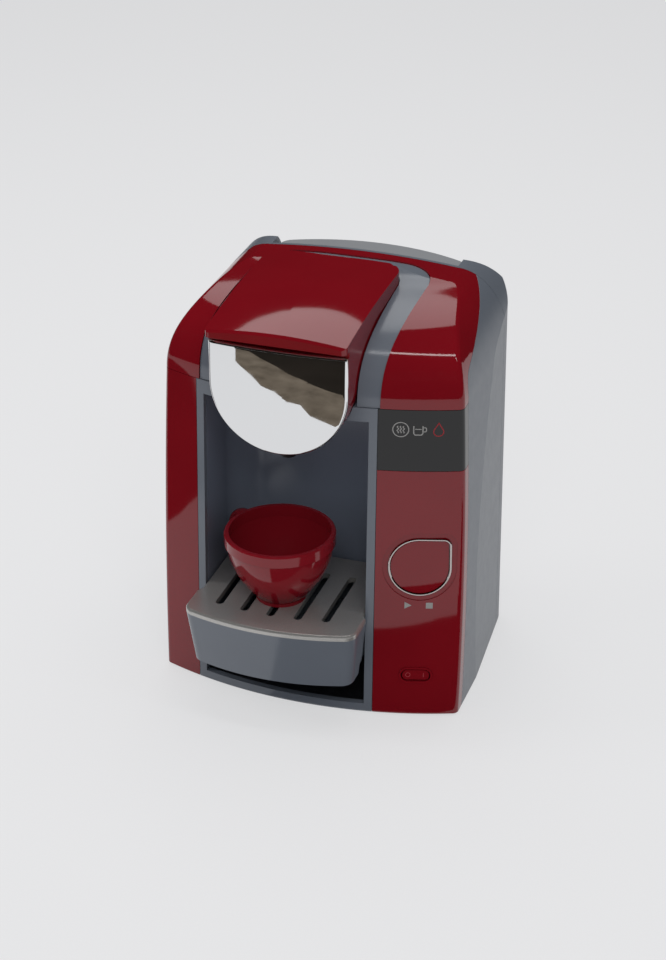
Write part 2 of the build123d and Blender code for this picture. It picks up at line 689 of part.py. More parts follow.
def alcove_bezel():
    """Grey frame of the alcove: two strips, a sill, and shoulders either side of the head."""
    frame = (OUTER - envelope(BEZEL_THICK)) & block(
        (ALCOVE_LEFT, ALCOVE_RIGHT), (-DEPTH, behind(ALCOVE_DEPTH)), (SOLE_Z, LOWER[1])
    )
    inner = (ALCOVE_LEFT + BEZEL_SIDE, ALCOVE_RIGHT - BEZEL_SIDE)
    frame -= block(inner, (-DEPTH, DEPTH), (SOLE_Z + BASE_LIP_T, PART_Z - BEZEL_TOP))
    return frame - head_prism((-DEPTH, DEPTH), FIT)


def liner_prism(half, rear, radius, z):
    """Upright prism of the alcove plan, rounded at its rear corners."""
    front = FRONT_Y - 20
    rectangle = Pos(ALCOVE_X, (front + rear) / 2) * Rectangle(2 * half, rear - front)
    return upright(fillet(rectangle.vertices().group_by(Axis.Y)[-1], radius), z)


def alcove_liner():
    """Dark recess behind the bezel, with two slots for the tray lugs."""
    half = ALCOVE_WIDTH / 2 - BEZEL_SIDE
    rear = behind(ALCOVE_DEPTH)
    low = SOLE_Z + BASE_LIP_T
    outer = liner_prism(half + LINER_WALL, rear + LINER_WALL, ALCOVE_CORNER_R + LINER_WALL, (low, LINER_TOP_Z))
    inner = liner_prism(half, rear, ALCOVE_CORNER_R, (0, LINER_TOP_Z - LINER_WALL))
    liner = (outer & envelope(BEZEL_THICK + SEAM)) - inner
    liner -= head_prism((-DEPTH, rear - FIT), FIT)
    for side in (-1, 1):
        x = ALCOVE_X + side * LUG_OFFSET
        slot_z = (LUG_Z - TRAY_TRAVEL - LUG_GAP, LUG_Z + LUG_HEIGHT + LUG_GAP)
        liner -= block((x - LUG_WIDTH / 2 - LUG_GAP, x + LUG_WIDTH / 2 + LUG_GAP), (rear - 1, rear + 9), slot_z)
    return liner


# ---- Brew head --------------------------------------------------------------------------
def roof_band():
    """Grey deck round the lid, bevelled down towards it."""
    deck = envelope(BAND_SINK) - envelope(BAND_SINK + BAND_THICK)
    deck &= upright(band_outline(SEAM / 2), (PART_Z + SEAM / 2, 2 * ROOF_Z))
    return deck - head_column(LID_OVERHANG + FIT)


def head_column(grow):
    """Upright prism of the head's plan above the alcove."""
    half = HEAD_WIDTH / 2 + grow
    front, rear = behind(-40), behind(HEAD_REAR) + grow
    rectangle = Pos(HEAD_X, (front + rear) / 2) * Rectangle(2 * half, rear - front)
    plan = fillet(rectangle.vertices().group_by(Axis.Y)[-1], HEAD_CORNER_R + grow)
    return upright(plan, (PART_Z - 10, 2 * ROOF_Z))


def rim_line(lift=0.0):
    """Side outline of everything above the rim of the head."""
    return [
        (behind(HEAD_FRONT), HEAD_RIM_FRONT_Z + lift),
        (behind(HINGE_BACK - BARREL_R - 1), HEAD_RIM_REAR_Z + lift),
        (behind(HINGE_BACK - BARREL_R - 1), HINGE_Z - BARREL_R - RIM_DROP + lift),
        (behind(HEAD_REAR + 30), HINGE_Z - BARREL_R - RIM_DROP + lift),
        (behind(HEAD_REAR + 30), 2 * ROOF_Z),
        (behind(-60), 2 * ROOF_Z),
        (behind(-60), HEAD_RIM_FRONT_Z + lift),
    ]


def head_solid(inset, ledge=0.0):
    """Outer or inner form of the head: round-bottomed nose and squared rear half."""
    front = behind(HEAD_FRONT) + inset
    nose = head_prism((front, behind(ALCOVE_DEPTH) - 2 * FIT - inset), -inset)
    rear = head_column(-inset) & block(FAR, (behind(30), DEPTH), (HEAD_FLOOR_Z + inset, 2 * ROOF_Z))
    return nose + rear


def hinge_ear(x, width, back, z, radius, foot_z):
    """Ear that carries a hinge pin: a round eye on a foot."""
    barrel = rod((x - width / 2, behind(back), z), (1, 0, 0), radius, width)
    foot = block((x - width / 2, x + width / 2), (behind(back) - radius, behind(back) + radius), (foot_z, z))
    return barrel + foot


def brew_head_housing():
    """Red tub of the brew head with hinge ears for the lid."""
    tub = head_solid(0.0) - across(rim_line(), FAR)
    below = block(FAR, (-DEPTH, DEPTH), (0, LEDGE_Z))
    above = block(FAR, (-DEPTH, DEPTH), (LEDGE_Z, 2 * ROOF_Z))
    tub -= head_solid(WALL) & above
    tub -= head_solid(WALL + LEDGE_WIDTH) & below
    for side in (-1, 1):
        x = HEAD_X + side * EAR_OFFSET
        tub += hinge_ear(x, EAR_WIDTH, HINGE_BACK, HINGE_Z, EAR_R, HEAD_FLOOR_Z + WALL)
        tub -= rod((x - EAR_WIDTH, behind(HINGE_BACK), HINGE_Z), (1, 0, 0), PIN_R + PIN_PLAY, 2 * EAR_WIDTH)
    tub -= Pos(HEAD_X, behind(SPOUT_Y)) * upright(Circle(SPOUT_R + FIT), (100, HEAD_ARC_Z))
    return tub


def chrome_front():
    """Domed chrome plate on the front of the head."""
    front = behind(HEAD_FRONT) - CHROME_THICK
    plate = head_prism((front, behind(HEAD_FRONT)))
    plate -= block(FAR, (-DEPTH, DEPTH), (HEAD_RIM_FRONT_Z, 2 * ROOF_Z))
    dome = Pos(HEAD_X, front + CHROME_DOME_R, HEAD_ARC_Z - 6) * Sphere(CHROME_DOME_R)
    return plate & dome


def disc_holder():
    """Black insert in the head: a plate with the round well for a drink disc."""
    y_span = (-DEPTH, behind(HINGE_BACK - BARREL_R - 1))
    plate = head_solid(WALL + FIT) & block(FAR, y_span, (LEDGE_Z, LEDGE_Z + HOLDER_T))
    centre = Pos(HEAD_X, behind(DISC_Y))
    low = LEDGE_Z + HOLDER_T - DISC_DEPTH - HOLDER_T
    plate += centre * upright(Circle(DISC_R + FIT + 1.6), (low, LEDGE_Z + HOLDER_T))
    plate -= centre * upright(Circle(DISC_R + FIT), (low + HOLDER_T, 2 * LEDGE_Z))
    plate -= centre * upright(Circle(3), (0, 2 * LEDGE_Z))
    return plate


def spout_nozzle():
    """Black spout that drops out of the underside of the head."""
    low = LEDGE_Z + HOLDER_T - DISC_DEPTH - HOLDER_T
    centre = Pos(HEAD_X, behind(SPOUT_Y))
    arc_low = HEAD_ARC_Z - HEAD_WIDTH / 2
    tube = centre * upright(Circle(SPOUT_R), (arc_low - 2, low - 4))
    tube += centre * upright(Circle(SPOUT_R + 2.5), (low - 4, low))
    tip = loft([Pos(0, 0, arc_low - 2) * Circle(SPOUT_R), Pos(0, 0, SPOUT_TIP_Z) * Circle(SPOUT_R - 2.5)])
    tube += centre * tip
    return tube - centre * upright(Circle(2.6), (SPOUT_TIP_Z - 1, low - 3))


def drink_disc():
    """Drink disc with a flanged rim and a thumb tab."""
    top = LEDGE_Z + HOLDER_T + DISC_RIM_T
    disc = upright(Circle(DISC_RIM_R), (top - DISC_RIM_T, top))
    disc += upright(Circle(DISC_R), (top - DISC_RIM_T - DISC_DEPTH + 0.3, top))
    disc += upright(Pos(0, DISC_RIM_R) * SlotOverall(22, 14), (top - DISC_RIM_T, top))
    return Pos(HEAD_X, behind(DISC_Y)) * disc


def disc_film():
    """Foil seal on the disc."""
    top = LEDGE_Z + HOLDER_T + DISC_RIM_T
    return Pos(HEAD_X, behind(DISC_Y)) * upright(Circle(DISC_R + 1), (top, top + 0.3))


# ---- Lid --------------------------------------------------------------------------------
def lid_form(inset=0.0):
    """Crowned lid form over the head; the inset gives its hollow."""
    front, end = behind(LID_FRONT + inset), behind(HINGE_BACK + 10 - inset)
    low = HEAD_RIM_FRONT_Z - 10
    bevel = Line((front, LID_FRONT_TOP_Z - LID_BEVEL - inset), (front + LID_BEVEL, LID_FRONT_TOP_Z - inset))
    top = Spline(
        bevel @ 1,
        (behind(LID_MIDDLE), LID_MIDDLE_Z - inset),
        (behind(HINGE_BACK), LID_TOP_Z - inset),
        tangents=[(1, 0.14), (1, 0)],
    )
    rest = Polyline(top @ 1, (end, LID_TOP_Z - inset), (end, low), (front, low), bevel @ 0)
    profile = Pos(HEAD_X, 0, 0) * (Plane.YZ * make_face(Curve() + [bevel, top, rest]))
    centre = Axis((HEAD_X, 0, LID_TOP_Z - LID_CROWN_R), (0, 1, 0))
    crowned = revolve(profile, centre, LID_ARC) + revolve(profile, centre, -LID_ARC)
    half = HEAD_WIDTH / 2 + LID_OVERHANG - inset
    rear = behind(HINGE_BACK) + BARREL_R - inset
    plan = Pos(HEAD_X, (front + rear) / 2) * Rectangle(2 * half, rear - front)
    plan = fillet(plan.vertices().group_by(Axis.Y)[-1], HEAD_CORNER_R - inset)
    plan = fillet(plan.vertices().group_by(Axis.Y)[0], max(LID_CORNER_R - inset, 0.6))
    return crowned & upright(plan, (HEAD_RIM_FRONT_Z - 5, 2 * ROOF_Z))


def hinge_notches(gap):
    """Hollows in the lid barrel that clear the ears of the head through the lid's swing."""
    reach = EAR_R + gap
    swing = radians(LID_OPEN)
    corner = (HINGE_BACK + reach * cos(swing), HINGE_Z + reach * sin(swing))
    far = 4 * BARREL_R
    points = [
        (behind(HINGE_BACK - reach), HEAD_RIM_FRONT_Z),
        (behind(HINGE_BACK - reach), HINGE_Z),
        (behind(corner[0]), corner[1]),
        (behind(corner[0] + far * sin(swing)), corner[1] - far * cos(swing)),
        (behind(corner[0] + far * sin(swing)), HEAD_RIM_FRONT_Z),
    ]
    notches = Part()
    for side in (-1, 1):
        middle = HEAD_X + side * EAR_OFFSET
        x = (middle - EAR_WIDTH / 2 - gap, middle + EAR_WIDTH / 2 + gap)
        notches += across(points, x) + rod((x[0], behind(HINGE_BACK), HINGE_Z), (1, 0, 0), reach, x[1] - x[0])
    return notches


def swing_rim():
    """Rear rim of the deck, grown by its play to the lid."""
    rim = envelope(BAND_SINK - FIT) & block(FAR, (behind(HINGE_BACK), DEPTH), (HINGE_Z - BARREL_R, 2 * ROOF_Z))
    return rim - head_column(LID_OVERHANG + FIT / 3)


def lid_shell():
    """Red lid with a front lip and a hinge barrel at its rear."""
    body = lid_form() - lid_underside()
    inside = (behind(HEAD_FRONT + 1 + LID_WALL), behind(HINGE_BACK - BARREL_R - LID_WALL))
    body -= lid_form(LID_WALL) & block(FAR, inside, (0, 2 * ROOF_Z))
    keep = rod((HEAD_X - WIDE, behind(HINGE_BACK), HINGE_Z), (1, 0, 0), BARREL_R, 2 * WIDE)
    body -= block(FAR, (behind(HINGE_BACK), DEPTH), (0, 2 * ROOF_Z)) - keep
    body -= hinge_notches(EAR_GAP)
    hinge = Axis((HEAD_X, behind(HINGE_BACK), HINGE_Z), (-1, 0, 0))
    rim = swing_rim()
    for share in LID_SWING_STOPS:
        body -= rim.rotate(hinge, -share * LID_OPEN)
    return body - hinge_bore()


def lid_underside():
    """Region below the closed lid: the head's rim line and the undercut of the lip."""
    step = behind(HEAD_FRONT + 1)
    points = [
        (behind(-60), LID_LIP_Z),
        (step, LID_LIP_Z),
        (step, HEAD_RIM_FRONT_Z + LID_GAP + 0.1),
        (behind(HINGE_BACK - BARREL_R - 1), HEAD_RIM_REAR_Z + LID_GAP),
        (behind(HINGE_BACK - 1), HINGE_Z - BARREL_R),
        (behind(HEAD_REAR + 30), HINGE_Z - BARREL_R),
        (behind(HEAD_REAR + 30), 100),
        (behind(-60), 100),
    ]
    return across(points, FAR)


def hinge_bore():
    """Bore for the lid pin."""
    return rod((HEAD_X - WIDE, behind(HINGE_BACK), HINGE_Z), (1, 0, 0), PIN_R + PIN_PLAY, 2 * WIDE)


def lid_hinge_pin():
    """Steel pin through the lid barrel and the ears."""
    half = EAR_OFFSET + EAR_WIDTH / 2 + 3
    return rod((HEAD_X - half, behind(HINGE_BACK), HINGE_Z), (1, 0, 0), PIN_R, 2 * half)


def lid_liner():
    """Grey inner plate of the lid."""
    plate = lid_form(LID_WALL + FIT) - lid_underside()
    inside = (behind(HEAD_FRONT + 1 + LID_WALL + FIT), behind(HINGE_BACK - BARREL_R - LID_WALL - FIT))
    plate &= block(FAR, inside, (0, 2 * ROOF_Z))
    return plate & Pos(0, 0, 2.0) * lid_underside()


def disc_press_ring():
    """Soft ring under the lid that presses on the disc."""
    centre = Pos(HEAD_X, behind(DISC_Y))
    low = LEDGE_Z + HOLDER_T + DISC_RIM_T + 0.3 + 1.0
    ring = centre * upright(Circle(22) - Circle(17), (low, HEAD_RIM_REAR_Z + 10))
    return ring & (lid_underside())


# ---- Button and switch ------------------------------------------------------------------
def button_ring():
    """Silver trim ring round the start button."""
    outline = button_outline() - button_outline(-RING_W)
    ring = on_plane(BUTTON_PLANE, outline, -RING_DEEP, RING_PROUD)
    return chamfer(ring.faces().sort_by(Axis(BUTTON_PLANE.origin, BUTTON_PLANE.z_dir))[-1].edges(), 0.35)


def start_button():
    """Red start button: domed cap, retaining flange and stem."""
    opening = -RING_W - BUTTON_GAP
    cap = on_plane(BUTTON_PLANE, button_outline(opening), -RING_DEEP - 0.4, BUTTON_PROUD)
    dome_r = 140.0
    dome = BUTTON_PLANE.offset(BUTTON_PROUD - dome_r) * Sphere(dome_r)
    cap &= dome
    cap += on_plane(BUTTON_PLANE, button_outline(-RING_W + 0.8), -RING_DEEP - 1.6, -RING_DEEP - 0.4)
    cap -= on_plane(BUTTON_PLANE, button_outline(opening - 1.8), -RING_DEEP - 2, BUTTON_PROUD - 2.6)
    return cap + on_plane(BUTTON_PLANE, Circle(3), -BUTTON_STEM, BUTTON_PROUD - 2)


def switch_dome():
    """Rubber dome switch under the button stem, on a block from the board."""
    top = -BUTTON_STEM - BUTTON_TRAVEL - FIT
    dome = on_plane(BUTTON_PLANE, Circle(4.5), top - 3, top)
    dome = chamfer(dome.faces().sort_by(Axis(BUTTON_PLANE.origin, BUTTON_PLANE.z_dir))[-1].edges(), 1)
    foot = on_plane(BUTTON_PLANE, Rectangle(11, 11), top - 25, top - 3)
    return dome + (foot & block(FAR, (-DEPTH, behind(BOARD_BACK)), (0, ROOF_Z)))


def switch_bezel():
    """Oval frame of the rocker switch."""
    outline = switch_outline() - switch_outline(-SWITCH_BEZEL_W)
    return on_plane(SWITCH_PLANE, outline, -SWITCH_BEZEL_DEEP, 0.5)


def power_rocker():
    """Red oval rocker on its pivot."""
    outline = switch_outline(-SWITCH_BEZEL_W - ROCKER_GAP)
    rocker = on_plane(SWITCH_PLANE, outline, -3, 0.4)
    rocker -= SWITCH_PLANE.offset(59.5) * Rot(90, 0, 0) * Cylinder(60, 40)
    pivot = SWITCH_PLANE.offset(-ROCKER_PIVOT) * Rot(90, 0, 0) * Cylinder(1.5, 9.6)
    web = on_plane(SWITCH_PLANE, Rectangle(2.4, 5), -ROCKER_PIVOT, -2.5)
    return rocker + web + pivot


def switch_module():
    """Black switch body with two ears that carry the rocker pivot."""
    box = on_plane(SWITCH_PLANE, Rectangle(SWITCH_LENGTH - 4, SWITCH_HEIGHT), -16, -7)
    for side in (-1, 1):
        box += on_plane(SWITCH_PLANE, Pos(0, side * 4.5) * Rectangle(5, 1.5), -16, -SWITCH_BEZEL_DEEP - FIT)
    box += on_plane(SWITCH_PLANE, Rectangle(SWITCH_LENGTH + 2, SWITCH_HEIGHT), -9, -7)
    return box - SWITCH_PLANE.offset(-ROCKER_PIVOT) * Rot(90, 0, 0) * Cylinder(1.5 + PIN_PLAY, 12)


def circuit_board():
    """Board behind the display and the button."""
    return block(BOARD_X, (behind(BOARD_BACK), behind(BOARD_BACK) + BOARD_T), BOARD_Z)


def sound_chip():
    """Moulded blob over the sound chip."""
    back = behind(BOARD_BACK) + BOARD_T
    chip = block((BOARD_X[0] + 8, BOARD_X[0] + 22), (back, back + 1.8), (120, 134))
    return chamfer(chip.faces().sort_by(Axis.Y)[-1].edges(), 0.6)


def indicator_leds():
    """Three lamps behind the display."""
    leds = []
    for x in LED_X:
        start = (x, behind(BOARD_BACK), LED_Z)
        leds.append((rod(start, (0, -1, 0), 2.5, 7) + rod(start, (0, -1, 0), 2.9, 1)).solid())
    return Compound(children=leds)


def wiring():
    """Three wires: batteries, speaker and switch to the circuit board."""
    board = behind(BOARD_BACK) + BOARD_T + 1
    battery_x = battery_spans()[0][1] + BATTERY_WALL + 1.2
    speaker_top = SOLE_Z + BASE_T + 13.9
    left, middle, right = (ALCOVE_RIGHT + step for step in (14, 20, 26))
    battery = [(battery_x, behind(70), 16), (ALCOVE_RIGHT + 2, behind(64), 16), (left, behind(50), 16)]
    speaker = [(SPEAKER_X, behind(SPEAKER_BACK), speaker_top), (SPEAKER_X + 6, behind(56), speaker_top)]
    switch = [(SWITCH_X, behind(22), SWITCH_Z + 2), (right, behind(30), SWITCH_Z + 4)]
    routes = [
        battery + [(left, board, 40), (left, board, 84)],
        speaker + [(middle, board, 44), (middle, board, 84)],
        switch + [(right, board, 60), (right, board, 84)],
    ]
    wires = []
    for route in routes:
        path = FilletPolyline(*route, radius=4)
        section = Plane(origin=path @ 0, z_dir=path % 0) * Circle(0.8)
        wires.append(sweep(section, path=path).solid())
    return Compound(children=wires)


# ---- Cup tray ---------------------------------------------------------------------------
def tray_outline(front_half, rear_half, front, inset=0.0):
    """Plan of the cup tray: bowed front, flared ahead of the bezel."""
    rear = behind(ALCOVE_DEPTH - TRAY_REAR_GAP) - inset
    front_half, rear_half = front_half - inset, rear_half - inset
    bow, corner = front + inset, front + TRAY_SAG + inset
    right = Polyline((rear_half, rear), (rear_half, behind(-5)), (front_half, behind(-9)), (front_half, corner))
    arc = ThreePointArc((front_half, corner), (0, bow), (-front_half, corner))
    left = mirror(right, about=Plane.YZ)
    face = make_face(Curve() + [right, arc, left, Line((-rear_half, rear), (rear_half, rear))])
    face = fillet(face.vertices().group_by(Axis.Y)[0], TRAY_CORNER_R - inset)
    face = fillet(face.vertices().group_by(Axis.Y)[-1], ALCOVE_CORNER_R - inset)
    return Pos(ALCOVE_X, 0) * face


def tray_form(inset, z):
    """Tapering form of the tray between two heights."""
    sections = []
    for height in z:
        drop = (TRAY_TOP_Z - GRATE_T - height) / (TRAY_HEIGHT - GRATE_T)
        front_half = TRAY_WIDTH / 2 - TRAY_TAPER * drop
        rear_half = ALCOVE_WIDTH / 2 - BEZEL_SIDE - TRAY_GAP - TRAY_TAPER / 2 * drop
        outline = tray_outline(front_half, rear_half, behind(-TRAY_REACH) + TRAY_RECEDE * drop, inset)
        sections.append(Pos(0, 0, height) * outline)
    return loft(sections)


def tray_body():
    """Blue-grey drip box with a skirt in front and two lugs at the rear."""
    top, bottom = TRAY_TOP_Z - GRATE_T, TRAY_TOP_Z - TRAY_HEIGHT
    body = tray_form(0.0, (bottom, top))
    body -= tray_form(TRAY_WALL, (TRAY_FLOOR_Z, top))
    body -= block(FAR, (behind(TRAY_SKIRT), DEPTH), (0, TRAY_FLOOR_Z - TRAY_WALL))
    body -= tray_form(TRAY_WALL, (bottom, TRAY_FLOOR_Z - TRAY_WALL))
    rear = behind(ALCOVE_DEPTH - TRAY_REAR_GAP)
    lug_z = (LUG_Z, LUG_Z + LUG_HEIGHT)
    for side in (-1, 1):
        x = ALCOVE_X + side * LUG_OFFSET
        wall_back = behind(ALCOVE_DEPTH) + LINER_WALL + LUG_GAP
        body += block((x - LUG_WIDTH / 2, x + LUG_WIDTH / 2), (rear - 1, wall_back + 2), lug_z)
        body += block((x - LUG_HEAD / 2, x + LUG_HEAD / 2), (wall_back, wall_back + 2), lug_z)
    return body


def tray_grate():
    """Silver slotted top of the tray with a rounded rim."""
    top, low = TRAY_TOP_Z, TRAY_TOP_Z - GRATE_T
    half = TRAY_WIDTH / 2
    outline = tray_outline(half, ALCOVE_WIDTH / 2 - BEZEL_SIDE - TRAY_GAP, behind(-TRAY_REACH))
    plate = fillet(upright(outline, (low, top)).edges().group_by(Axis.Z)[-1], GRATE_EDGE_R)
    for index in range(SLOT_COUNT):
        offset = (index - (SLOT_COUNT - 1) / 2) * SLOT_PITCH
        front = behind(SLOT_FRONT) + TRAY_SAG * (offset / half) ** 2
        rear = behind(SLOT_REAR)
        slot = Pos(SLOT_X + offset, (front + rear) / 2) * SlotOverall(rear - front, SLOT_WIDTH, rotation=90)
        plate -= upright(slot, (low - 1, top + 1))
    return plate


# ---- Cup --------------------------------------------------------------------------------
def cup():
    """Red cup with a banded rim, a bowl tapering to a small foot, and a loop handle."""
    height, radius = CUP_HEIGHT, CUP_R
    band = height - CUP_BAND
    inner_foot = CUP_FOOT_R - CUP_WALL
    outside = Spline((CUP_FOOT_R, 2), (radius - 9, 14), (radius - 1, band), tangents=[(0.8, 1), (0.15, 1)])
    inside_points = [(radius - 1 - CUP_WALL, band), (radius - 9.6 - CUP_WALL, 15.4), (inner_foot, 3.4)]
    inside = Spline(*inside_points, tangents=[(-0.15, -1), (-0.8, -1)])
    edges = [
        Polyline((0, 1), (CUP_FOOT_R - 2, 1), (CUP_FOOT_R - 1.2, 0), (CUP_FOOT_R, 0), (CUP_FOOT_R, 2)),
        outside,
        Polyline((radius - 1, band), (radius, band + 0.6), (radius, height - 0.8), (radius - 0.8, height)),
        Polyline((radius - 0.8, height), (radius - 1 - CUP_WALL, height), (radius - 1 - CUP_WALL, band)),
        inside,
        Polyline((inner_foot, 3.4), (0, 3.0), (0, 1)),
    ]
    bowl = revolve(Plane.XZ * make_face(Curve() + edges), Axis.Z)
    inner = revolve(Plane.XZ * make_face(Curve() + [
        inside, Line((inner_foot, 3.4), (0, 3.4)), Line((0, 3.4), (0, height)),
        Polyline((0, height), (radius - 1 - CUP_WALL, height), (radius - 1 - CUP_WALL, band)),
    ]), Axis.Z)
    top_point, low_point = (radius - 1.5, height - 5), (radius - 6, 16)
    path = Plane.XZ * ThreePointArc(top_point, (radius + HANDLE_REACH - HANDLE_T / 2, height - 13), low_point)
    section = Plane(origin=path @ 0, z_dir=path % 0, x_dir=(0, 1, 0)) * Ellipse(HANDLE_W / 2, HANDLE_T / 2)
    handle = sweep(section, path=path) - inner
    shape = bowl + Rot(0, 0, HANDLE_ANGLE) * handle
    return Pos(CUP_X, behind(CUP_Y), TRAY_TOP_Z + CUP_CLEAR) * shape


# ---- Water tank -------------------------------------------------------------------------
def tank_outline(inset=0.0):
    """D-shaped plan of the tank: flat front, bowed rear."""
    half = TANK_WIDTH / 2 - inset
    front, side_end, rear = behind(TANK_FRONT) + inset, REAR_Y - TANK_SIDE_END, DEPTH / 2 - inset
    lines = [
        Polyline((-half, side_end), (-half, front), (half, front), (half, side_end)),
        ThreePointArc((half, side_end), (0, rear), (-half, side_end)),
    ]
    face = make_face(Curve() + lines)
    corners = face.vertices().filter_by(lambda vertex: vertex.Y > behind(TANK_FRONT) + 5)
    face = fillet(corners, TANK_CORNER_R - inset)
    return fillet(face.vertices().group_by(Axis.Y)[0], max(3.5 - inset, 0.5))


def water_tank():
    """Smoke-clear tank, open at the top, with hinge ears and a valve hole below."""
    low = BAY_FLOOR_Z + FIT
    tank = upright(tank_outline(), (low, TANK_TOP_Z))
    tank -= upright(tank_outline(TANK_WALL), (low + TANK_WALL, TANK_TOP_Z + 1))
    tank -= Pos(0, tank_middle_y()) * upright(Circle(VALVE_R - 1.5), (0, TANK_TOP_Z))
    axis_back = TANK_FRONT + TANK_HINGE_R
    axis_z = TANK_TOP_Z + TANK_HINGE_R + FIT
    for side in (-1, 1):
        x = side * TANK_EAR_OFFSET
        tank += hinge_ear(x, EAR_WIDTH, axis_back, axis_z, TANK_HINGE_R, TANK_TOP_Z - 3)
        tank -= rod((x - EAR_WIDTH, behind(axis_back), axis_z), (1, 0, 0), 1 + PIN_PLAY, 2 * EAR_WIDTH)
    return tank


def tank_valve():
    """Outlet valve clipped through the tank floor."""
    floor = BAY_FLOOR_Z + FIT
    valve = upright(Circle(VALVE_R), (floor - VALVE_LENGTH, floor))
    valve += upright(Circle(VALVE_R - 1.5 - PIN_PLAY), (floor, floor + TANK_WALL))
    valve += upright(Circle(VALVE_R), (floor + TANK_WALL, floor + TANK_WALL + 2))
    return Pos(0, tank_middle_y()) * (valve - upright(Circle(1.5), (0, TANK_TOP_Z)))


def inlet_seal():
    """Rubber seal ring under the tank bay."""
    low = BAY_FLOOR_Z - BAY_WALL
    ring = upright(Circle(VALVE_R + 3) - Circle(VALVE_R + FIT), (low - 2.5, low))
    return Pos(0, tank_middle_y()) * ring


def tank_lid():
    """Pale lid of the tank, with a hinge barrel along its front edge."""
    axis_back = TANK_FRONT + TANK_HINGE_R
    axis_z = TANK_TOP_Z + TANK_HINGE_R + FIT
    low = TANK_TOP_Z + FIT
    lid = upright(tank_outline(), (low, low + TANK_LID_T))
    lid -= block(FAR, (-DEPTH, behind(axis_back)), (0, 2 * ROOF_Z))
    barrel = rod((-TANK_WIDTH / 2 + 4, behind(axis_back), axis_z), (1, 0, 0), TANK_HINGE_R, TANK_WIDTH - 8)
    lid += barrel
    skirt = upright(tank_outline(TANK_WALL + FIT) - tank_outline(TANK_WALL + FIT + 1.4), (low - 3, low))
    lid += skirt & block(FAR, (behind(axis_back + 8), DEPTH), (0, 2 * ROOF_Z))
    for side in (-1, 1):
        x = side * TANK_EAR_OFFSET
        half = EAR_WIDTH / 2 + EAR_GAP
        reach = behind(axis_back + TANK_HINGE_R) + EAR_GAP
        lid -= block((x - half, x + half), (-DEPTH, reach), (0, 2 * ROOF_Z))
    return lid - rod((-WIDE, behind(axis_back), axis_z), (1, 0, 0), 1 + PIN_PLAY, 2 * WIDE)


def tank_hinge_pin():
    """Pin through the tank lid and its ears."""
    half = TANK_EAR_OFFSET + EAR_WIDTH / 2 + 3
    start = (-half, behind(TANK_FRONT + TANK_HINGE_R), TANK_TOP_Z + TANK_HINGE_R + FIT)
    return rod(start, (1, 0, 0), 1.0, 2 * half)


# ---- Sub-parts, with display colours ----------------------------------------------------
RED, GREY, DARK, BLACK = (0.62, 0.02, 0.06), (0.42, 0.46, 0.52), (0.22, 0.24, 0.28), (0.03, 0.03, 0.035)
SILVER, CHROME, STEEL, RUBBER = (0.62, 0.62, 0.63), (0.85, 0.86, 0.88), (0.6, 0.6, 0.62), (0.05, 0.05, 0.05)
BOARD, BRASS, SMOKE, PALE = (0.05, 0.3, 0.12), (0.7, 0.55, 0.25), (0.25, 0.27, 0.3), (0.75, 0.77, 0.8)

PARTS = {
    "left_pillar": (left_pillar, RED),
    "control_panel": (control_panel, RED),
    "upper_housing": (upper_housing, RED),
    "side_panel_left": (lambda: side_panel(-1), GREY),
    "side_panel_right": (lambda: side_panel(1), GREY),
    "rear_cover": (rear_cover, GREY),
    "base_plate": (base_plate, DARK),
    "rubber_feet": (rubber_feet, RUBBER),
    "housing_screws": (housing_screws, STEEL),
    "alcove_bezel": (alcove_bezel, GREY),
    "alcove_liner": (alcove_liner, DARK),
    "roof_band": (roof_band, GREY),
    "brew_head_housing": (brew_head_housing, RED),
    "chrome_front": (chrome_front, CHROME),
    "disc_holder": (disc_holder, BLACK),
    "spout_nozzle": (spout_nozzle, BLACK),
    "drink_disc": (drink_disc, BLACK),
    "disc_film": (disc_film, PALE),
    "lid_hinge_pin": (lid_hinge_pin, STEEL),
    "lid_shell": (lid_shell, RED),
    "lid_liner": (lid_liner, DARK),
    "disc_press_ring": (disc_press_ring, RUBBER),
    "display_panel": (display_panel, BLACK),
    "button_ring": (button_ring, SILVER),
    "start_button": (start_button, RED),
    "switch_dome": (switch_dome, RUBBER),
    "switch_bezel": (switch_bezel, RED),
    "power_rocker": (power_rocker, RED),
    "switch_module": (switch_module, BLACK),
    "circuit_board": (circuit_board, BOARD),
    "wiring": (wiring, BLACK),
    "sound_chip": (sound_chip, BLACK),
    "indicator_leds": (indicator_leds, PALE),
    "battery_box": (battery_box, DARK),
    "battery_cells": (battery_cells, BRASS),
    "battery_contacts": (battery_contacts, STEEL),
    "battery_door": (battery_door, DARK),
    "battery_door_screw": (battery_door_screw, STEEL),
    "speaker_frame": (speaker_frame, STEEL),
    "speaker_cone": (speaker_cone, BLACK),
    "tray_body": (tray_body, GREY),
    "tray_grate": (tray_grate, SILVER),
    "cup": (cup, RED),
    "water_tank": (water_tank, SMOKE),
    "tank_valve": (tank_valve, PALE),
    "inlet_seal": (inlet_seal, RUBBER),
    "tank_lid": (tank_lid, PALE),
    "tank_hinge_pin": (tank_hinge_pin, STEEL),
}

for part_name, (make, part_colour) in PARTS.items():
    save(make(), part_name, part_colour)
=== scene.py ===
"""Toy capsule coffee maker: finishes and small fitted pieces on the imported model.

The sections follow the toy as it is put together, from the moulded shells to the cup.
Lengths in the sections are millimetres unless a comment says otherwise.
"""
from collections import Counter
from math import cos, pi, radians, sin, sqrt

import bmesh
import bpy
from mathutils import Matrix, Vector


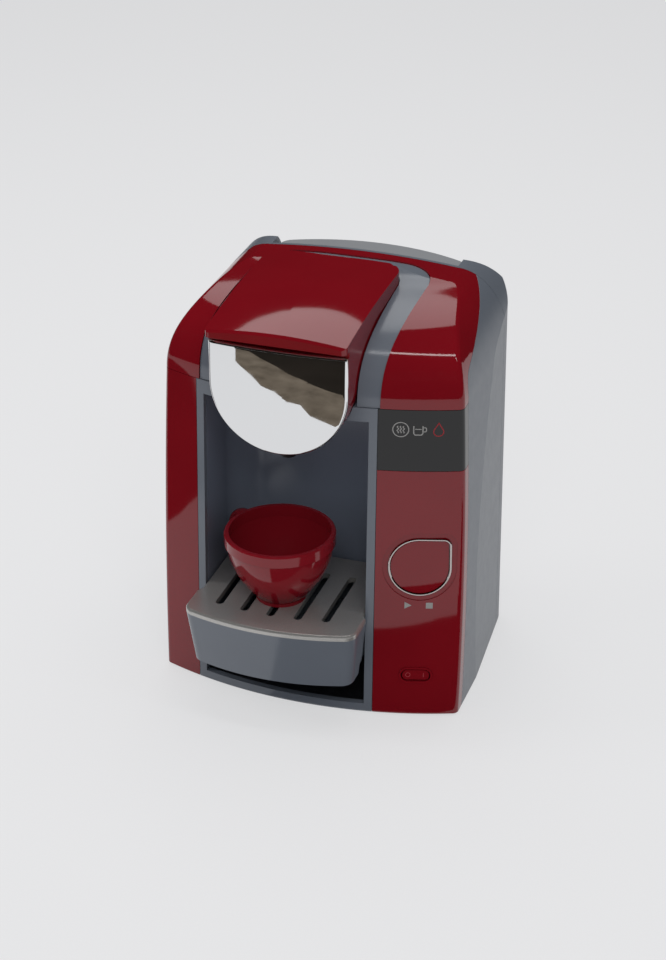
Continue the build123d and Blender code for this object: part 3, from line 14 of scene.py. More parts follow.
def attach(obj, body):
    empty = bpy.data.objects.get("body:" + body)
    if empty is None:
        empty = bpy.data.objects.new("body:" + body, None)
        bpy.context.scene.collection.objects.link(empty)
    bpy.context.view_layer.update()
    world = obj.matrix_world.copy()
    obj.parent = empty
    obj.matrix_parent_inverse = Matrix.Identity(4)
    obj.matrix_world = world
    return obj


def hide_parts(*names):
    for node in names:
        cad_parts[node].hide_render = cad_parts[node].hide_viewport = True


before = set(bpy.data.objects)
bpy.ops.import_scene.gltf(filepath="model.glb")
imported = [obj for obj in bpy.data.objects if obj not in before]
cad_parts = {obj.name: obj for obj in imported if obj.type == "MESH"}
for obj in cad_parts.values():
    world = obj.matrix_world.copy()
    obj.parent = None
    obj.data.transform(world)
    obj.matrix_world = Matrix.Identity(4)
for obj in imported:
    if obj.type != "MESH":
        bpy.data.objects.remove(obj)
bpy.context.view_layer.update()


# ---- Red shells -----------------------------------------------------------------------------
# The left pillar, control panel and upper shell are injection-moulded ABS from polished
# tools, coloured right through in deep red. They clip to the grey frame, so no screw shows.
def linear(colour):
    """Linear RGBA of an sRGB hex colour."""
    channels = [int(colour[i:i + 2], 16) / 255 for i in (1, 3, 5)]
    return [
        c / 12.92 if c <= 0.04045 else ((c + 0.055) / 1.055) ** 2.4 for c in channels
    ] + [1.0]


def shaded(colour, share):
    """Linear RGBA of an sRGB hex colour with its light cut to a share."""
    return [channel * share for channel in linear(colour)[:3]] + [1.0]


def add(material, kind, inputs=None, **settings):
    """Add a node with its settings; an input is a value or another node's output."""
    made = material.node_tree.nodes.new(kind)
    for name, value in settings.items():
        setattr(made, name, value)
    for name, value in (inputs or {}).items():
        socket = made.inputs[name]
        if isinstance(value, bpy.types.NodeSocket):
            material.node_tree.links.new(value, socket)
        else:
            socket.default_value = value
    return made


def start_material(name):
    """Empty node material and its object coordinates, which are in metres."""
    material = bpy.data.materials.new(name)
    material.use_nodes = True
    material.node_tree.nodes.clear()
    return material, add(material, "ShaderNodeTexCoord").outputs["Object"]


def moulded(name, colour, roughness, grain, depth, flow=0.06, ior=1.53):
    """Injection-moulded plastic: faint flow marks, a surface grain and uneven polish.

    grain is the size of the surface texture and depth its height, both in millimetres.
    Flow marks are some 36 mm across and patches of uneven polish some 7 mm."""
    material, place = start_material(name)
    drift = add(material, "ShaderNodeTexNoise", {"Vector": place, "Scale": 28.0, "Detail": 3.0})
    shade = add(
        material, "ShaderNodeMix",
        {"Factor": drift.outputs["Fac"], "A": linear(colour), "B": shaded(colour, 1 - 3 * flow)},
        data_type="RGBA",
    )
    polish = add(
        material, "ShaderNodeTexNoise",
        {"Vector": place, "Scale": 140.0, "Detail": 4.0, "Roughness": 0.65},
    )
    rough = add(
        material, "ShaderNodeMapRange",
        {"Value": polish.outputs["Fac"], "From Min": 0.3, "From Max": 0.7,
         "To Min": roughness * 0.94, "To Max": roughness * 1.08},
    )
    skin = add(
        material, "ShaderNodeTexNoise",
        {"Vector": place, "Scale": 1000.0 / grain, "Detail": 2.0},
    )
    relief = add(
        material, "ShaderNodeBump",
        {"Height": skin.outputs["Fac"], "Strength": 0.6, "Distance": depth / 1000},
    )
    plastic = add(
        material, "ShaderNodeBsdfPrincipled",
        {"Base Color": shade.outputs["Result"], "Roughness": rough.outputs["Result"],
         "Normal": relief.outputs["Normal"], "IOR": ior},
    )
    add(material, "ShaderNodeOutputMaterial", {"Surface": plastic.outputs["BSDF"]})
    return material


def dress(material, *names):
    """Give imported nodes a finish."""
    for name in names:
        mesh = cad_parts[name].data
        mesh.materials.clear()
        mesh.materials.append(material)


# Polished ABS has a faint orange peel a few millimetres across and mirrors soft lights.
RED_ABS = moulded("red gloss ABS", "#86111C", 0.055, grain=4.0, depth=0.004)
dress(RED_ABS, "left_pillar", "control_panel", "upper_housing")


# ---- Grey shells ----------------------------------------------------------------------------
# The alcove frame, the deck round the lid, the side panels and the rear shell are satin ABS
# in a blue grey. Their tools are finely spark-eroded, which gives an even low sheen.
GREY_ABS = moulded("blue-grey satin ABS", "#70767F", 0.17, grain=0.9, depth=0.003, flow=0.03)
dress(GREY_ABS, "alcove_bezel", "roof_band")
SIDE_ABS = moulded("blue-grey grained ABS", "#6C727B", 0.36, grain=0.7, depth=0.012, flow=0.02)
dress(SIDE_ABS, "side_panel_left", "side_panel_right", "rear_cover")

# The recess behind the frame is a slate moulding, coloured lighter than the frame as painted light
# against the shade in the recess, and a little glossier where it was drawn off a polished core.
SLATE_ABS_PAINTED_LIGHT = moulded("slate ABS, painted lighter", "#7A8291", 0.24, grain=1.4, depth=0.001, flow=0.03)
dress(SLATE_ABS_PAINTED_LIGHT, "alcove_liner")


# ---- Base, feet and screws ------------------------------------------------------------------
# The base plate and battery door are black ABS with a coarse grain, and the feet are moulded
# rubber plugs. The screws are zinc-plated steel.
BLACK_ABS = moulded("black grained ABS", "#1D1D20", 0.46, grain=0.8, depth=0.035, flow=0.05)
dress(BLACK_ABS, "base_plate", "battery_door", "battery_box", "switch_module", "disc_holder")
RUBBER = moulded("moulded rubber", "#17171A", 0.74, grain=0.5, depth=0.03, flow=0.08, ior=1.52)
dress(RUBBER, "rubber_feet")


def drawn_steel(name, colour, roughness):
    """Plated steel: spangles of about 1.1 mm and rubbed patches of about 1.7 mm."""
    material, place = start_material(name)
    spangle = add(material, "ShaderNodeTexVoronoi", {"Vector": place, "Scale": 900.0})
    tone = add(
        material, "ShaderNodeMix",
        {"Factor": spangle.outputs["Distance"], "A": linear(colour), "B": shaded(colour, 0.72)},
        data_type="RGBA",
    )
    rubbed = add(material, "ShaderNodeTexNoise", {"Vector": place, "Scale": 600.0, "Detail": 5.0})
    rough = add(
        material, "ShaderNodeMapRange",
        {"Value": rubbed.outputs["Fac"], "To Min": roughness * 0.7, "To Max": roughness * 1.4},
    )
    metal = add(
        material, "ShaderNodeBsdfPrincipled",
        {"Base Color": tone.outputs["Result"], "Roughness": rough.outputs["Result"],
         "Metallic": 1.0},
    )
    add(material, "ShaderNodeOutputMaterial", {"Surface": metal.outputs["BSDF"]})
    return material


ZINC = drawn_steel("zinc-plated steel", "#B9BBBC", 0.30)
dress(ZINC, "housing_screws", "battery_door_screw", "battery_contacts", "speaker_frame",
      "lid_hinge_pin", "tank_hinge_pin")


# ---- Brew head ------------------------------------------------------------------------------
# The head is a red tub with a domed plate pressed on its nose. The plate is ABS with bright
# chrome plating, so it mirrors everything with a slight waviness and has no grain.
dress(RED_ABS, "brew_head_housing")


def plating(name, colour, roughness, wave, depth):
    """Bright plating over a moulding: a mirror with slow waves of the plastic beneath.

    wave is the width of the waves and depth their height, both in millimetres."""
    material, place = start_material(name)
    slow = add(
        material, "ShaderNodeTexNoise",
        {"Vector": place, "Scale": 1000.0 / wave, "Detail": 1.0},
    )
    relief = add(
        material, "ShaderNodeBump",
        {"Height": slow.outputs["Fac"], "Strength": 0.5, "Distance": depth / 1000},
    )
    haze = add(material, "ShaderNodeTexNoise", {"Vector": place, "Scale": 220.0, "Detail": 5.0})
    rough = add(
        material, "ShaderNodeMapRange",
        {"Value": haze.outputs["Fac"], "From Min": 0.45, "From Max": 0.8,
         "To Min": roughness, "To Max": roughness * 2.5},
    )
    metal = add(
        material, "ShaderNodeBsdfPrincipled",
        {"Base Color": linear(colour), "Roughness": rough.outputs["Result"], "Metallic": 1.0,
         "Normal": relief.outputs["Normal"]},
    )
    add(material, "ShaderNodeOutputMaterial", {"Surface": metal.outputs["BSDF"]})
    return material


CHROME = plating("chrome plating on ABS", "#EEEFF0", 0.02, wave=26.0, depth=0.25)
dress(CHROME, "chrome_front")


def new_object(name, data):
    """Object with this mesh, lamp or camera, in the scene."""
    made = bpy.data.objects.new(name, data)
    bpy.context.scene.collection.objects.link(made)
    return made


PLATE_MIDDLE = -10.2     # across the toy
PLATE_HALF = 41.5        # half its width, and the radius of its round underside
PLATE_ROUND_Z = 209.5
PLATE_TOP_Z = 233.5
PLATE_BACK = -63.25
PLATE_CROWN = 4.0        # from the back to the top of the dome
DOME_RADIUS = 350.0
DOME_Z = 203.5
ROLLED_EDGE = 1.5        # the plate's edge is rolled over with this radius
LEAST_EDGE = 0.02        # the dome's edge stays at least this far ahead of the back
EDGE_STEPS = 10          # of the rolled edge
TOP_STEPS = 48
SIDE_STEPS = 20
ROUND_STEPS = 120
DOME_SHARES = (0.97, 0.9, 0.8, 0.7, 0.6, 0.5, 0.4, 0.3, 0.2, 0.1)


def plate_outline(inset):
    """Outline of the plate: straight top, upright sides and a round underside."""
    half, top = PLATE_HALF - inset, PLATE_TOP_Z - inset
    side = top - PLATE_ROUND_Z
    points = [(half - 2 * half * i / TOP_STEPS, top) for i in range(TOP_STEPS)]
    points += [(-half, top - side * i / SIDE_STEPS) for i in range(SIDE_STEPS)]
    for i in range(ROUND_STEPS):
        angle = pi + pi * i / ROUND_STEPS
        points.append((half * cos(angle), PLATE_ROUND_Z + half * sin(angle)))
    points += [(half, PLATE_ROUND_Z + side * i / SIDE_STEPS) for i in range(SIDE_STEPS)]
    return points


def domed_plate():
    """The chromed plate as a closed mesh: dome, rolled edge and flat back."""
    rings = []
    for step in range(EDGE_STEPS + 1):
        turn = pi / 2 * step / EDGE_STEPS
        inset = ROLLED_EDGE * (1 - cos(turn))
        drop = ROLLED_EDGE * (1 - sin(turn))
        rings.append([(x, z, drop) for x, z in plate_outline(inset)])
    inner = plate_outline(ROLLED_EDGE)
    for share in DOME_SHARES:
        rings.append([(x * share, DOME_Z + (z - DOME_Z) * share, 0.0) for x, z in inner])
    vertices = [(PLATE_MIDDLE + x, PLATE_BACK, z) for x, z, drop in rings[0]]
    for ring in rings:
        for x, z, drop in ring:
            sag = DOME_RADIUS - sqrt(DOME_RADIUS ** 2 - x ** 2 - (z - DOME_Z) ** 2)
            front = min(PLATE_BACK - PLATE_CROWN + sag + drop, PLATE_BACK - LEAST_EDGE)
            vertices.append((PLATE_MIDDLE + x, front, z))
    count = len(rings[0])
    vertices.append((PLATE_MIDDLE, PLATE_BACK - PLATE_CROWN, DOME_Z))
    faces = [list(range(count))]
    for level in range(len(rings)):
        for i in range(count):
            j = (i + 1) % count
            low, high = level * count, (level + 1) * count
            faces.append([low + j, low + i, high + i, high + j])
    last = len(rings) * count
    faces += [[last + (i + 1) % count, last + i, len(vertices) - 1] for i in range(count)]
    mesh = bpy.data.meshes.new("chromed_plate")
    mesh.from_pydata([Vector(vertex) / 1000 for vertex in vertices], [], faces)
    mesh.materials.append(CHROME)
    mesh.shade_smooth()
    mesh.polygons[0].use_smooth = False
    return new_object("chromed_plate", mesh)


chromed_plate = domed_plate()
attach(chromed_plate, "housing")
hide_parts("chrome_front")

# The spout and the disc's body are black polypropylene, waxy and a little soft in gloss; the
# disc is sealed with a plain brushed foil.
BLACK_PP = moulded("black polypropylene", "#19191B", 0.38, grain=1.2, depth=0.012, ior=1.49)
dress(BLACK_PP, "spout_nozzle", "drink_disc")
dress(drawn_steel("brushed foil", "#C3C4C6", 0.34), "disc_film")


# ---- Lid ------------------------------------------------------------------------------------
# The lid is the largest red moulding, polished like the shells. Its liner and the ring that
# presses the disc down are black ABS, and a steel pin carries it.
dress(RED_ABS, "lid_shell")
dress(BLACK_ABS, "lid_liner", "disc_press_ring")


# ---- Display --------------------------------------------------------------------------------
# The display is a strip of piano-black ABS. Three symbols are pad-printed on it in thin ink,
# two pale grey and one red.
PIANO_BLACK = moulded("piano-black ABS", "#0D0D0F", 0.09, grain=5.0, depth=0.008)
dress(PIANO_BLACK, "display_panel")

FRONT_RADIUS = 240.0
FRONT_Y = -53.25
LEAN = 11.0
PART_Z = 198.0


def on_front(x, z):
    """Point on the bowed, leaning front and its outward normal."""
    radius = FRONT_RADIUS + LEAN * (1 - z / PART_Z)
    y = FRONT_Y + FRONT_RADIUS - sqrt(radius ** 2 - x ** 2)
    outward = Vector((x, y - FRONT_Y - FRONT_RADIUS, radius * LEAN / PART_Z)).normalized()
    return Vector((x, y, z)), outward


def ink(name, colour):
    """Pad-printing ink: matt, with a film that is uneven over 0.4 mm."""
    material, place = start_material(name)
    film = add(material, "ShaderNodeTexNoise", {"Vector": place, "Scale": 2500.0, "Detail": 3.0})
    tone = add(
        material, "ShaderNodeMix",
        {"Factor": film.outputs["Fac"], "A": linear(colour), "B": shaded(colour, 0.78)},
        data_type="RGBA",
    )
    layer = add(
        material, "ShaderNodeBsdfPrincipled",
        {"Base Color": tone.outputs["Result"], "Roughness": 0.48, "IOR": 1.5},
    )
    add(material, "ShaderNodeOutputMaterial", {"Surface": layer.outputs["BSDF"]})
    return material


def bar(points, width, closed=False):
    """Outline pieces of a stroke along points, one quad a run, mitred where runs meet."""
    count = len(points)
    sides = []
    for i, point in enumerate(points):
        before = points[i - 1] if i or closed else point
        after = points[(i + 1) % count] if i + 1 < count or closed else point
        along_in = (Vector(point) - Vector(before)).normalized() if before != point else None
        along_out = (Vector(after) - Vector(point)).normalized() if after != point else None
        along_in, along_out = along_in or along_out, along_out or along_in
        mitre = (along_in + along_out).normalized()
        normal = Vector((-mitre.y, mitre.x))
        reach = width / 2 / max(0.5, mitre.dot(along_out))
        sides.append((Vector(point) + reach * normal, Vector(point) - reach * normal))
    pairs = list(zip(sides, sides[1:] + sides[:1] if closed else sides[1:]))
    return [[a, b, d, c] for (a, b), (c, d) in pairs]


SIGN_ROOT = 0.25         # every sign reaches this far into the surface that bears it


def printed(name, areas, place, material, body="housing", film=0.06):
    """A printed or embossed sign: flat areas laid on a surface given by place(u, v)."""
    vertices, faces = [], []
    for area in areas:
        first, count = len(vertices), len(area)
        for lift in (film, -SIGN_ROOT):
            for u, v in area:
                point, outward = place(u, v)
                vertices.append((point + lift * outward) / 1000)
        faces.append([first + i for i in range(count)])
        faces.append([first + count + i for i in reversed(range(count))])
        for i in range(count):
            j = (i + 1) % count
            faces.append([first + j, first + i, first + count + i, first + count + j])
    mesh = bpy.data.meshes.new(name)
    mesh.from_pydata(vertices, [], faces)
    mesh.materials.append(material)
    sign = new_object(name, mesh)
    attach(sign, body)


def circle(u, v, radius, count=28):
    """Points round a circle."""
    angles = [2 * pi * i / count for i in range(count)]
    return [(u + radius * cos(angle), v + radius * sin(angle)) for angle in angles]


PALE_INK = ink("pale grey pad-printing ink", "#A9A7A4")
RED_INK = ink("red pad-printing ink", "#A3202B")

THICK_STROKE = 0.6
THIN_STROKE = 0.5

# A ring with three wisps of steam.
STEAM_X = 57.0
STEAM_Z = 186.0
steam_symbol = bar(circle(STEAM_X, STEAM_Z, 4.4), 0.55, closed=True)
for offset in (-1.6, 0.0, 1.6):
    wisp = [
        (STEAM_X + offset + 0.45 * sin(t * 1.6), STEAM_Z - 2.2 + t * 0.55) for t in range(9)
    ]
    steam_symbol += bar(wisp, THIN_STROKE)
printed("symbol_steam", steam_symbol, on_front, PALE_INK)

# A mug in side view: wall, handle and the level of the drink.
mug_wall = [
    (64.1, 188.4), (64.1, 183.8), (64.9, 182.9), (68.3, 182.9), (69.1, 183.8), (69.1, 188.4),
]
mug_handle = [
    (69.2, 187.4), (70.6, 187.4), (71.0, 186.8), (71.0, 185.5), (70.6, 184.9), (69.2, 184.9),
]
mug_level = [(64.9, 186.4), (68.3, 186.4)]
mug_symbol = bar(mug_wall, THICK_STROKE)
mug_symbol += bar(mug_handle, THIN_STROKE)
mug_symbol += bar(mug_level, THIN_STROKE)
printed("symbol_mug", mug_symbol, on_front, PALE_INK)

# A falling drop: its tip, then its round belly.
DROP_X = 77.6
DROP_Z = 184.9
DROP_RADIUS = 2.7
drop_outline = [(DROP_X, 190.2)]
for i in range(19):
    angle = radians(25 - 230 * i / 18)
    drop_outline.append((DROP_X + DROP_RADIUS * cos(angle), DROP_Z + DROP_RADIUS * sin(angle)))
drop_symbol = bar(drop_outline, THICK_STROKE, closed=True)
printed("symbol_drop", drop_symbol, on_front, RED_INK)


# ---- Start button ---------------------------------------------------------------------------
# The button is a polished red cap inside a satin-chromed ring. Two pale signs are printed under
# it, a triangle for start and a square for stop.
dress(RED_ABS, "start_button")
dress(plating("satin chrome plating on ABS", "#C4BCB9", 0.11, wave=26.0, depth=0.1), "button_ring")

SLIVER_AREA = 1e-14      # in square metres
POLE_FACES = 100         # a point with more faces is the pole of the crown


def polished_cap():
    """The button's cap with an even crown: its middle reflects as its neighbourhood does."""
    cap_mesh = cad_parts["start_button"].data.copy()
    shape = bmesh.new()
    shape.from_mesh(cap_mesh)
    slivers = [face for face in shape.faces if face.calc_area() < SLIVER_AREA]
    bmesh.ops.delete(shape, geom=slivers, context="FACES_ONLY")
    shape.to_mesh(cap_mesh)
    shape.free()

    faces_at = Counter(index for face in cap_mesh.polygons for index in face.vertices)
    middle = {index for index, faces in faces_at.items() if faces > POLE_FACES}
    normals = [corner.vector.copy() for corner in cap_mesh.corner_normals]
    outward = Vector()
    for face in cap_mesh.polygons:
        if middle.intersection(face.vertices):
            for i in face.loop_indices:
                if cap_mesh.loops[i].vertex_index not in middle:
                    outward += normals[i]
    for loop in cap_mesh.loops:
        if loop.vertex_index in middle:
            normals[loop.index] = outward.normalized()
    cap_mesh.normals_split_custom_set(normals)
    return new_object("polished_cap", cap_mesh)


start_cap = polished_cap()
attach(start_cap, "start_button")
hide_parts("start_button")

triangle = [(61.6, 71.9), (65.6, 74.1), (61.6, 76.3)]
square = [(73.6, 72.2), (77.4, 72.2), (77.4, 76.0), (73.6, 76.0)]
printed("sign_start", [triangle], on_front, PALE_INK)
printed("sign_stop", [square], on_front, PALE_INK)


# ---- Power switch ---------------------------------------------------------------------------
# The rocker is a small red moulding in an oval frame, hollowed for the finger, with a ring
# and a bar raised on its two ends.
dress(RED_ABS, "switch_bezel", "power_rocker")

SWITCH_X = 69.0
SWITCH_Z = 27.5
DISH_RADIUS = 60.0
DISH_CENTRE = 59.5       # of the hollow, ahead of the panel


def on_rocker(u, v):
    """Point in the rocker's hollow and its outward normal; u runs to the right."""
    middle, outward = on_front(SWITCH_X, SWITCH_Z)
    right = Vector((-outward.y, outward.x, 0)).normalized()
    up = outward.cross(right)
    depth = DISH_CENTRE - sqrt(DISH_RADIUS ** 2 - u ** 2)
    return middle + u * right + v * up + depth * outward, outward


# The raised marks are the rocker's own red moulding, coloured a lighter red as a painted highlight
# on their ridges.
RAISED_RED_PAINTED_HIGHLIGHT = moulded("red ABS, raised marks with painted highlight", "#B53A42", 0.30, grain=1.0, depth=0.01)
MARK_REACH = 4.6         # of both marks, from the rocker's middle
MARK_HEIGHT = 0.12
ring_mark = bar(circle(-MARK_REACH, 0.0, 1.35, 20), 0.4, closed=True)
bar_mark = bar([(MARK_REACH, -1.4), (MARK_REACH, 1.4)], 0.45)
printed("mark_off", ring_mark, on_rocker, RAISED_RED_PAINTED_HIGHLIGHT, body="power_rocker",
        film=MARK_HEIGHT)
printed("mark_on", bar_mark, on_rocker, RAISED_RED_PAINTED_HIGHLIGHT, body="power_rocker",
        film=MARK_HEIGHT)


# ---- Electronics ----------------------------------------------------------------------------
# A small glass-epoxy board with green solder mask carries the sound chip under a blob of
# black epoxy, three lamps, and a silicone dome switch behind the button.
def solder_mask():
    """Glass-epoxy board: green mask with copper tracks, one every 3 mm, showing through."""
    material, place = start_material("green solder mask on glass epoxy")
    upright = add(material, "ShaderNodeMapping", {"Vector": place, "Rotation": (pi / 2, 0, 0)})
    tracks = add(
        material, "ShaderNodeTexBrick",
        {"Vector": upright.outputs["Vector"], "Scale": 60.0, "Mortar Size": 0.035,
         "Mortar Smooth": 0.1, "Brick Width": 0.7, "Row Height": 0.18,
         "Color1": linear("#14532C"), "Color2": linear("#17592F"), "Mortar": linear("#2F7A3F")},
    )
    relief = add(
        material, "ShaderNodeBump",
        {"Height": tracks.outputs["Fac"], "Strength": 0.4, "Distance": 0.00004},
    )
    board = add(
        material, "ShaderNodeBsdfPrincipled",
        {"Base Color": tracks.outputs["Color"], "Roughness": 0.28,
         "Normal": relief.outputs["Normal"]},
    )
    add(material, "ShaderNodeOutputMaterial", {"Surface": board.outputs["BSDF"]})
    return material


dress(solder_mask(), "circuit_board")
dress(moulded("black epoxy", "#111113", 0.35, grain=1.5, depth=0.02), "sound_chip")
dress(moulded("grey silicone", "#8D8F92", 0.55, grain=0.8, depth=0.01, ior=1.43),
      "switch_dome", "inlet_seal")
dress(moulded("PVC wire insulation", "#8E1A1F", 0.42, grain=0.6, depth=0.006), "wiring")


def clear_plastic(name, colour, roughness):
    """Clear moulding in a tint, with faint haze in patches of about 17 mm."""
    material, place = start_material(name)
    haze = add(material, "ShaderNodeTexNoise", {"Vector": place, "Scale": 60.0, "Detail": 3.0})
    rough = add(
        material, "ShaderNodeMapRange",
        {"Value": haze.outputs["Fac"], "To Min": roughness * 0.6, "To Max": roughness * 1.6},
    )
    body = add(
        material, "ShaderNodeBsdfPrincipled",
        {"Base Color": linear(colour), "Roughness": rough.outputs["Result"], "IOR": 1.58,
         "Transmission Weight": 1.0},
    )
    add(material, "ShaderNodeOutputMaterial", {"Surface": body.outputs["BSDF"]})
    return material


dress(clear_plastic("water-clear lamp epoxy", "#F2D9D6", 0.06), "indicator_leds")


# ---- Batteries and speaker ------------------------------------------------------------------
# Two AA cells in plain printed jackets lie between sprung contacts. The speaker has a steel
# basket and a black paper cone.
def cell_jacket():
    """Cell: dark lacquered sleeve, and bare steel more than 23 mm from its middle."""
    material, place = start_material("lacquered cell sleeve")
    along = add(material, "ShaderNodeSeparateXYZ", {"Vector": place})
    reach = add(material, "ShaderNodeMath", {0: along.outputs["X"]}, operation="ABSOLUTE")
    bare = add(
        material, "ShaderNodeMapRange",
        {"Value": reach.outputs["Value"], "From Min": 0.0232, "From Max": 0.0234},
    )
    scuff = add(material, "ShaderNodeTexNoise", {"Vector": place, "Scale": 400.0, "Detail": 4.0})
    sleeve = add(
        material, "ShaderNodeMix",
        {"Factor": scuff.outputs["Fac"], "A": linear("#2B3A55"), "B": linear("#232F46")},
        data_type="RGBA",
    )
    tone = add(
        material, "ShaderNodeMix",
        {"Factor": bare.outputs["Result"], "A": sleeve.outputs["Result"], "B": linear("#BDBEBF")},
        data_type="RGBA",
    )
    can = add(
        material, "ShaderNodeBsdfPrincipled",
        {"Base Color": tone.outputs["Result"], "Roughness": 0.28,
         "Metallic": bare.outputs["Result"]},
    )
    add(material, "ShaderNodeOutputMaterial", {"Surface": can.outputs["BSDF"]})
    return material


dress(cell_jacket(), "battery_cells")
dress(moulded("black cone paper", "#1B1A19", 0.85, grain=0.5, depth=0.06, flow=0.1, ior=1.4),
      "speaker_cone")


# ---- Cup tray -------------------------------------------------------------------------------
# The tray's body is the same blue-grey ABS as the frame. Its slotted top is sprayed with a
# warm silver paint, whose fine flake shows as a soft sparkle along the rounded edge.
dress(GREY_ABS, "tray_body")


def silver_paint():
    """Sprayed silver: metallic flake under a thin binder. The flake is drawn 0.4 mm coarse."""
    material, place = start_material("silver paint on ABS")
    flake = add(material, "ShaderNodeTexVoronoi", {"Vector": place, "Scale": 2500.0})
    tone = add(
        material, "ShaderNodeMix",
        {"Factor": flake.outputs["Distance"], "A": linear("#CBC9C5"), "B": linear("#B2B0AC")},
        data_type="RGBA",
    )
    relief = add(
        material, "ShaderNodeBump",
        {"Height": flake.outputs["Distance"], "Strength": 0.35, "Distance": 0.00004},
    )
    coat = add(
        material, "ShaderNodeBsdfPrincipled",
        {"Base Color": tone.outputs["Result"], "Roughness": 0.27, "Metallic": 0.6,
         "Normal": relief.outputs["Normal"]},
    )
    add(material, "ShaderNodeOutputMaterial", {"Surface": coat.outputs["BSDF"]})
    return material


dress(silver_paint(), "tray_grate")


# ---- Cup ------------------------------------------------------------------------------------
# The cup and its handle are one thin polished moulding, in the same red as the shells but a
# shade deeper.
CUP_ABS = moulded("deep red gloss ABS", "#8C1823", 0.08, grain=4.0, depth=0.004)
dress(CUP_ABS, "cup")


# ---- Water tank -----------------------------------------------------------------------------
# The tank is blow-clear polystyrene in a smoke tint with a grey lid. Its valve is white
# polypropylene and seals on a silicone ring.
dress(clear_plastic("smoke polystyrene", "#A3A8AB", 0.05), "water_tank")
dress(moulded("pale grey ABS", "#9B9DA0", 0.35, grain=0.9, depth=0.012), "tank_lid")
dress(moulded("natural polypropylene", "#C9C9C4", 0.45, grain=1.0, depth=0.01, ior=1.49),
      "tank_valve")


# ---- Studio ---------------------------------------------------------------------------------
# A pale paper floor under soft lamps: a round one behind and to the left whose edge shows in
# the lid, a narrow strip over the front of the head, a large softbox over the front, and
# weaker ones at the left and above.
def area_lamp(name, place, target, size, power, shape="RECTANGLE"):
    """Soft lamp, in metres and watts."""
    data = bpy.data.lights.new(name, "AREA")
    data.shape = shape
    data.size, data.size_y = size
    data.energy = power
    lamp = new_object(name, data)
    lamp.location = place
    lamp.rotation_euler = (Vector(target) - Vector(place)).to_track_quat("-Z", "Y").to_euler()
    return lamp


area_lamp("round lamp", (-0.351, 0.699, 1.117), (0, 0, 0.24), (0.62, 0.52), 1.45, shape="ELLIPSE")
area_lamp("strip lamp", (0.1, -0.02, 1.2), (0.1, -0.02, 0), (0.9, 0.05), 1.0)
for softbox in (
    area_lamp("front softbox", (0.5, -1.2, 1.3), (0, 0, 0.12), (0.9, 0.6), 6.2),
    area_lamp("left softbox", (-1.3, -0.3, 0.9), (0, 0, 0.12), (0.4, 0.8), 3.0),
    area_lamp("top softbox", (0.1, 0.3, 1.4), (0, 0, 0.12), (0.8, 0.8), 3.0),
):
    softbox.visible_glossy = False


def studio_board(name, corners, material):
    """Flat board of the studio, from its corners in metres."""
    mesh = bpy.data.meshes.new(name)
    mesh.from_pydata(corners, [], [range(len(corners))])
    mesh.materials.append(material)
    board = new_object(name, mesh)
    return board


def seen_ray(material):
    """1 for rays that show a surface: from the camera, a polished face or through glass."""
    rays = add(material, "ShaderNodeLightPath")
    shown = add(
        material, "ShaderNodeMath",
        {0: rays.outputs["Is Camera Ray"], 1: rays.outputs["Is Glossy Ray"]},
        operation="MAXIMUM",
    )
    return add(
        material, "ShaderNodeMath",
        {0: shown.outputs["Value"], 1: rays.outputs["Is Transmission Ray"]},
        operation="MAXIMUM",
    )


def matt_board(name, light, dark, patch, lift=0.0):
    """Matt paper or cloth in two tones; patch is the size of their patches in metres.

    lift is how far the tone shows by itself, which keeps far paper as pale as near."""
    material, place = start_material(name)
    fibre = add(
        material, "ShaderNodeTexNoise", {"Vector": place, "Scale": 1 / patch, "Detail": 3.0}
    )
    tone = add(
        material, "ShaderNodeMix",
        {"Factor": fibre.outputs["Fac"], "A": linear(light), "B": linear(dark)}, data_type="RGBA",
    )
    cover = add(material, "ShaderNodeBsdfDiffuse", {"Color": tone.outputs["Result"]})
    glow = add(material, "ShaderNodeEmission", {"Color": tone.outputs["Result"]})
    seen = seen_ray(material)
    share = add(
        material, "ShaderNodeMath", {0: seen.outputs["Value"], 1: lift}, operation="MULTIPLY"
    )
    mixed = add(
        material, "ShaderNodeMixShader",
        {0: share.outputs["Value"], 1: cover.outputs["BSDF"], 2: glow.outputs["Emission"]},
    )
    add(material, "ShaderNodeOutputMaterial", {"Surface": mixed.outputs["Shader"]})
    return material


def square_round(reach):
    """Corners of a square round the toy, anticlockwise from the front left one."""
    return [(-reach, -reach), (reach, -reach), (reach, reach), (-reach, reach)]


def flat(height, *corners):
    """Corners of a level board at a height."""
    return [(x, y, height) for x, y in corners]


def hung(height, left, right):
    """Corners of a board that hangs from a height down to the floor."""
    return flat(0, left, right) + flat(height, right, left)


FLOOR_REACH = 6.0
studio_board("floor", flat(0, *square_round(FLOOR_REACH)),
             matt_board("backdrop paper", "#F1F1F2", "#EDEDEE", 0.001, lift=0.65))

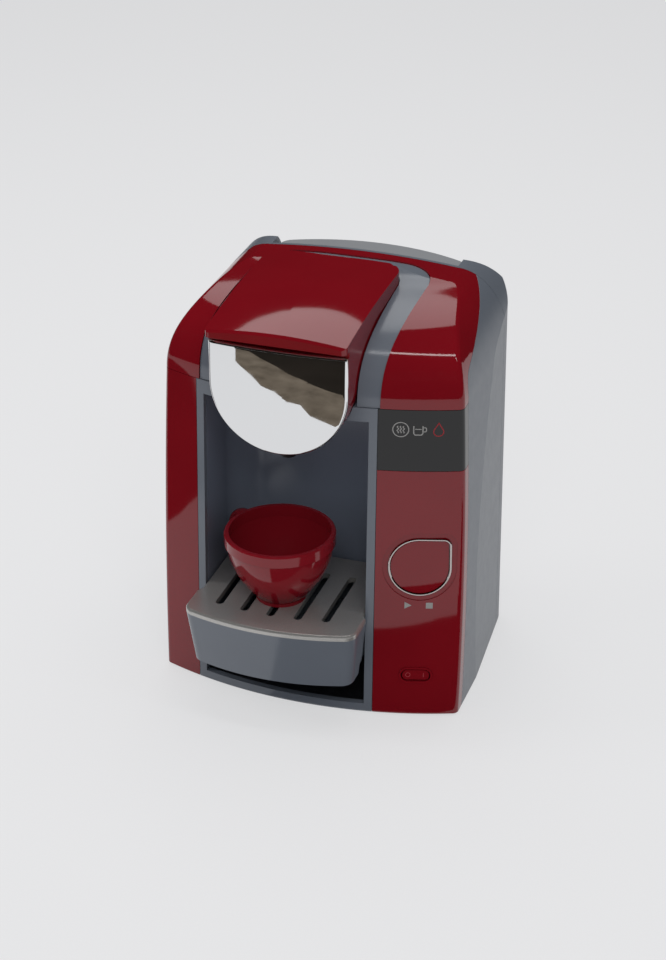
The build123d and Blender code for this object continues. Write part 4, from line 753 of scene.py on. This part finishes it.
# Dark cloth hangs round the set and lies on the floor where only polished faces look, so that
# the plating and the red gloss have something dark to mirror. It takes no light and casts no
# shadow.
BLACK_CLOTH = matt_board("black studio cloth", "#3A342E", "#0C0B0B", 0.3)
TAUPE_CLOTH = matt_board("taupe studio cloth", "#9A8D7C", "#4A4138", 0.05)
TENT_REACH = 1.7
TENT_HEIGHT = 2.1
front_left, front_right, rear_right, rear_left = square_round(TENT_REACH)
for name, cloth_material, corners in (
    ("cloth_rear", BLACK_CLOTH, hung(TENT_HEIGHT, rear_left, rear_right)),
    ("cloth_front", BLACK_CLOTH, hung(TENT_HEIGHT, front_left, front_right)),
    ("cloth_left", BLACK_CLOTH, hung(TENT_HEIGHT, front_left, rear_left)),
    ("cloth_right", BLACK_CLOTH, hung(TENT_HEIGHT, front_right, rear_right)),
    ("cloth_top", BLACK_CLOTH, flat(TENT_HEIGHT, *square_round(TENT_REACH))),
    ("cloth_by_pillar", BLACK_CLOTH,
     flat(0.002, (-1.0, -0.55), (-0.3, -0.25), (-0.27, -0.1), (-1.0, -0.08))),
    ("taupe_by_spout", TAUPE_CLOTH,
     flat(0.003, (-0.42, -0.79), (0.03, -0.5), (0.03, -0.36), (-0.02, -0.38), (-0.07, -0.41),
          (-0.1, -0.45), (-0.13, -0.45), (-0.17, -0.49), (-0.21, -0.50), (-0.25, -0.54),
          (-0.33, -0.615))),
    ("cloth_by_spout", BLACK_CLOTH,
     flat(0.003, (-0.78, -1.48), (0.03, -1.6), (0.03, -0.5), (-0.42, -0.79))),
    ("cloth_by_panel", BLACK_CLOTH,
     flat(0.002, (-0.02, -0.175), (0.4, -0.165), (0.4, -0.05), (-0.02, -0.05))),
):
    cloth = studio_board(name, corners, cloth_material)
    cloth.visible_camera = False
    cloth.visible_diffuse = False
    cloth.visible_shadow = False
    cloth.visible_transmission = False

world = bpy.data.worlds.new("even studio")
bpy.context.scene.world = world
world.use_nodes = True
world.node_tree.nodes.clear()
ambient = add(world, "ShaderNodeBackground", {"Color": linear("#E4E6EA"), "Strength": 0.42})
backdrop = add(world, "ShaderNodeBackground", {"Color": linear("#E2E3E5"), "Strength": 1.0})
sky = add(
    world, "ShaderNodeMixShader",
    {0: seen_ray(world).outputs["Value"], 1: ambient.outputs["Background"],
     2: backdrop.outputs["Background"]},
)
add(world, "ShaderNodeOutputWorld", {"Surface": sky.outputs["Shader"]})
bpy.context.scene.view_settings.view_transform = "Standard"


# ---- Camera ---------------------------------------------------------------------------------
# The camera stands about 1.5 m away, to the right and above. Its long lens keeps the upright
# edges of the casing nearly parallel.
CAMERA_PLACE = (0.4196, -1.21725, 0.8142)
TURN = radians(19.0167)
TILT = radians(28.331)
ROLL = radians(-0.4755)
LENS = 91.41             # on a 36 mm long side

back = Vector((sin(TURN) * cos(TILT), -cos(TURN) * cos(TILT), sin(TILT)))
right = Vector((cos(TURN), sin(TURN), 0))
up = back.cross(right)
rolled_right = cos(ROLL) * right + sin(ROLL) * up
rolled_up = cos(ROLL) * up - sin(ROLL) * right
camera_data = bpy.data.cameras.new("camera")
camera_data.lens = LENS
camera_data.sensor_width = 36.0
camera = new_object("camera", camera_data)
axes = Matrix((rolled_right, rolled_up, back)).transposed()
camera.matrix_world = Matrix.Translation(CAMERA_PLACE) @ axes.to_4x4()
bpy.context.scene.camera = camera
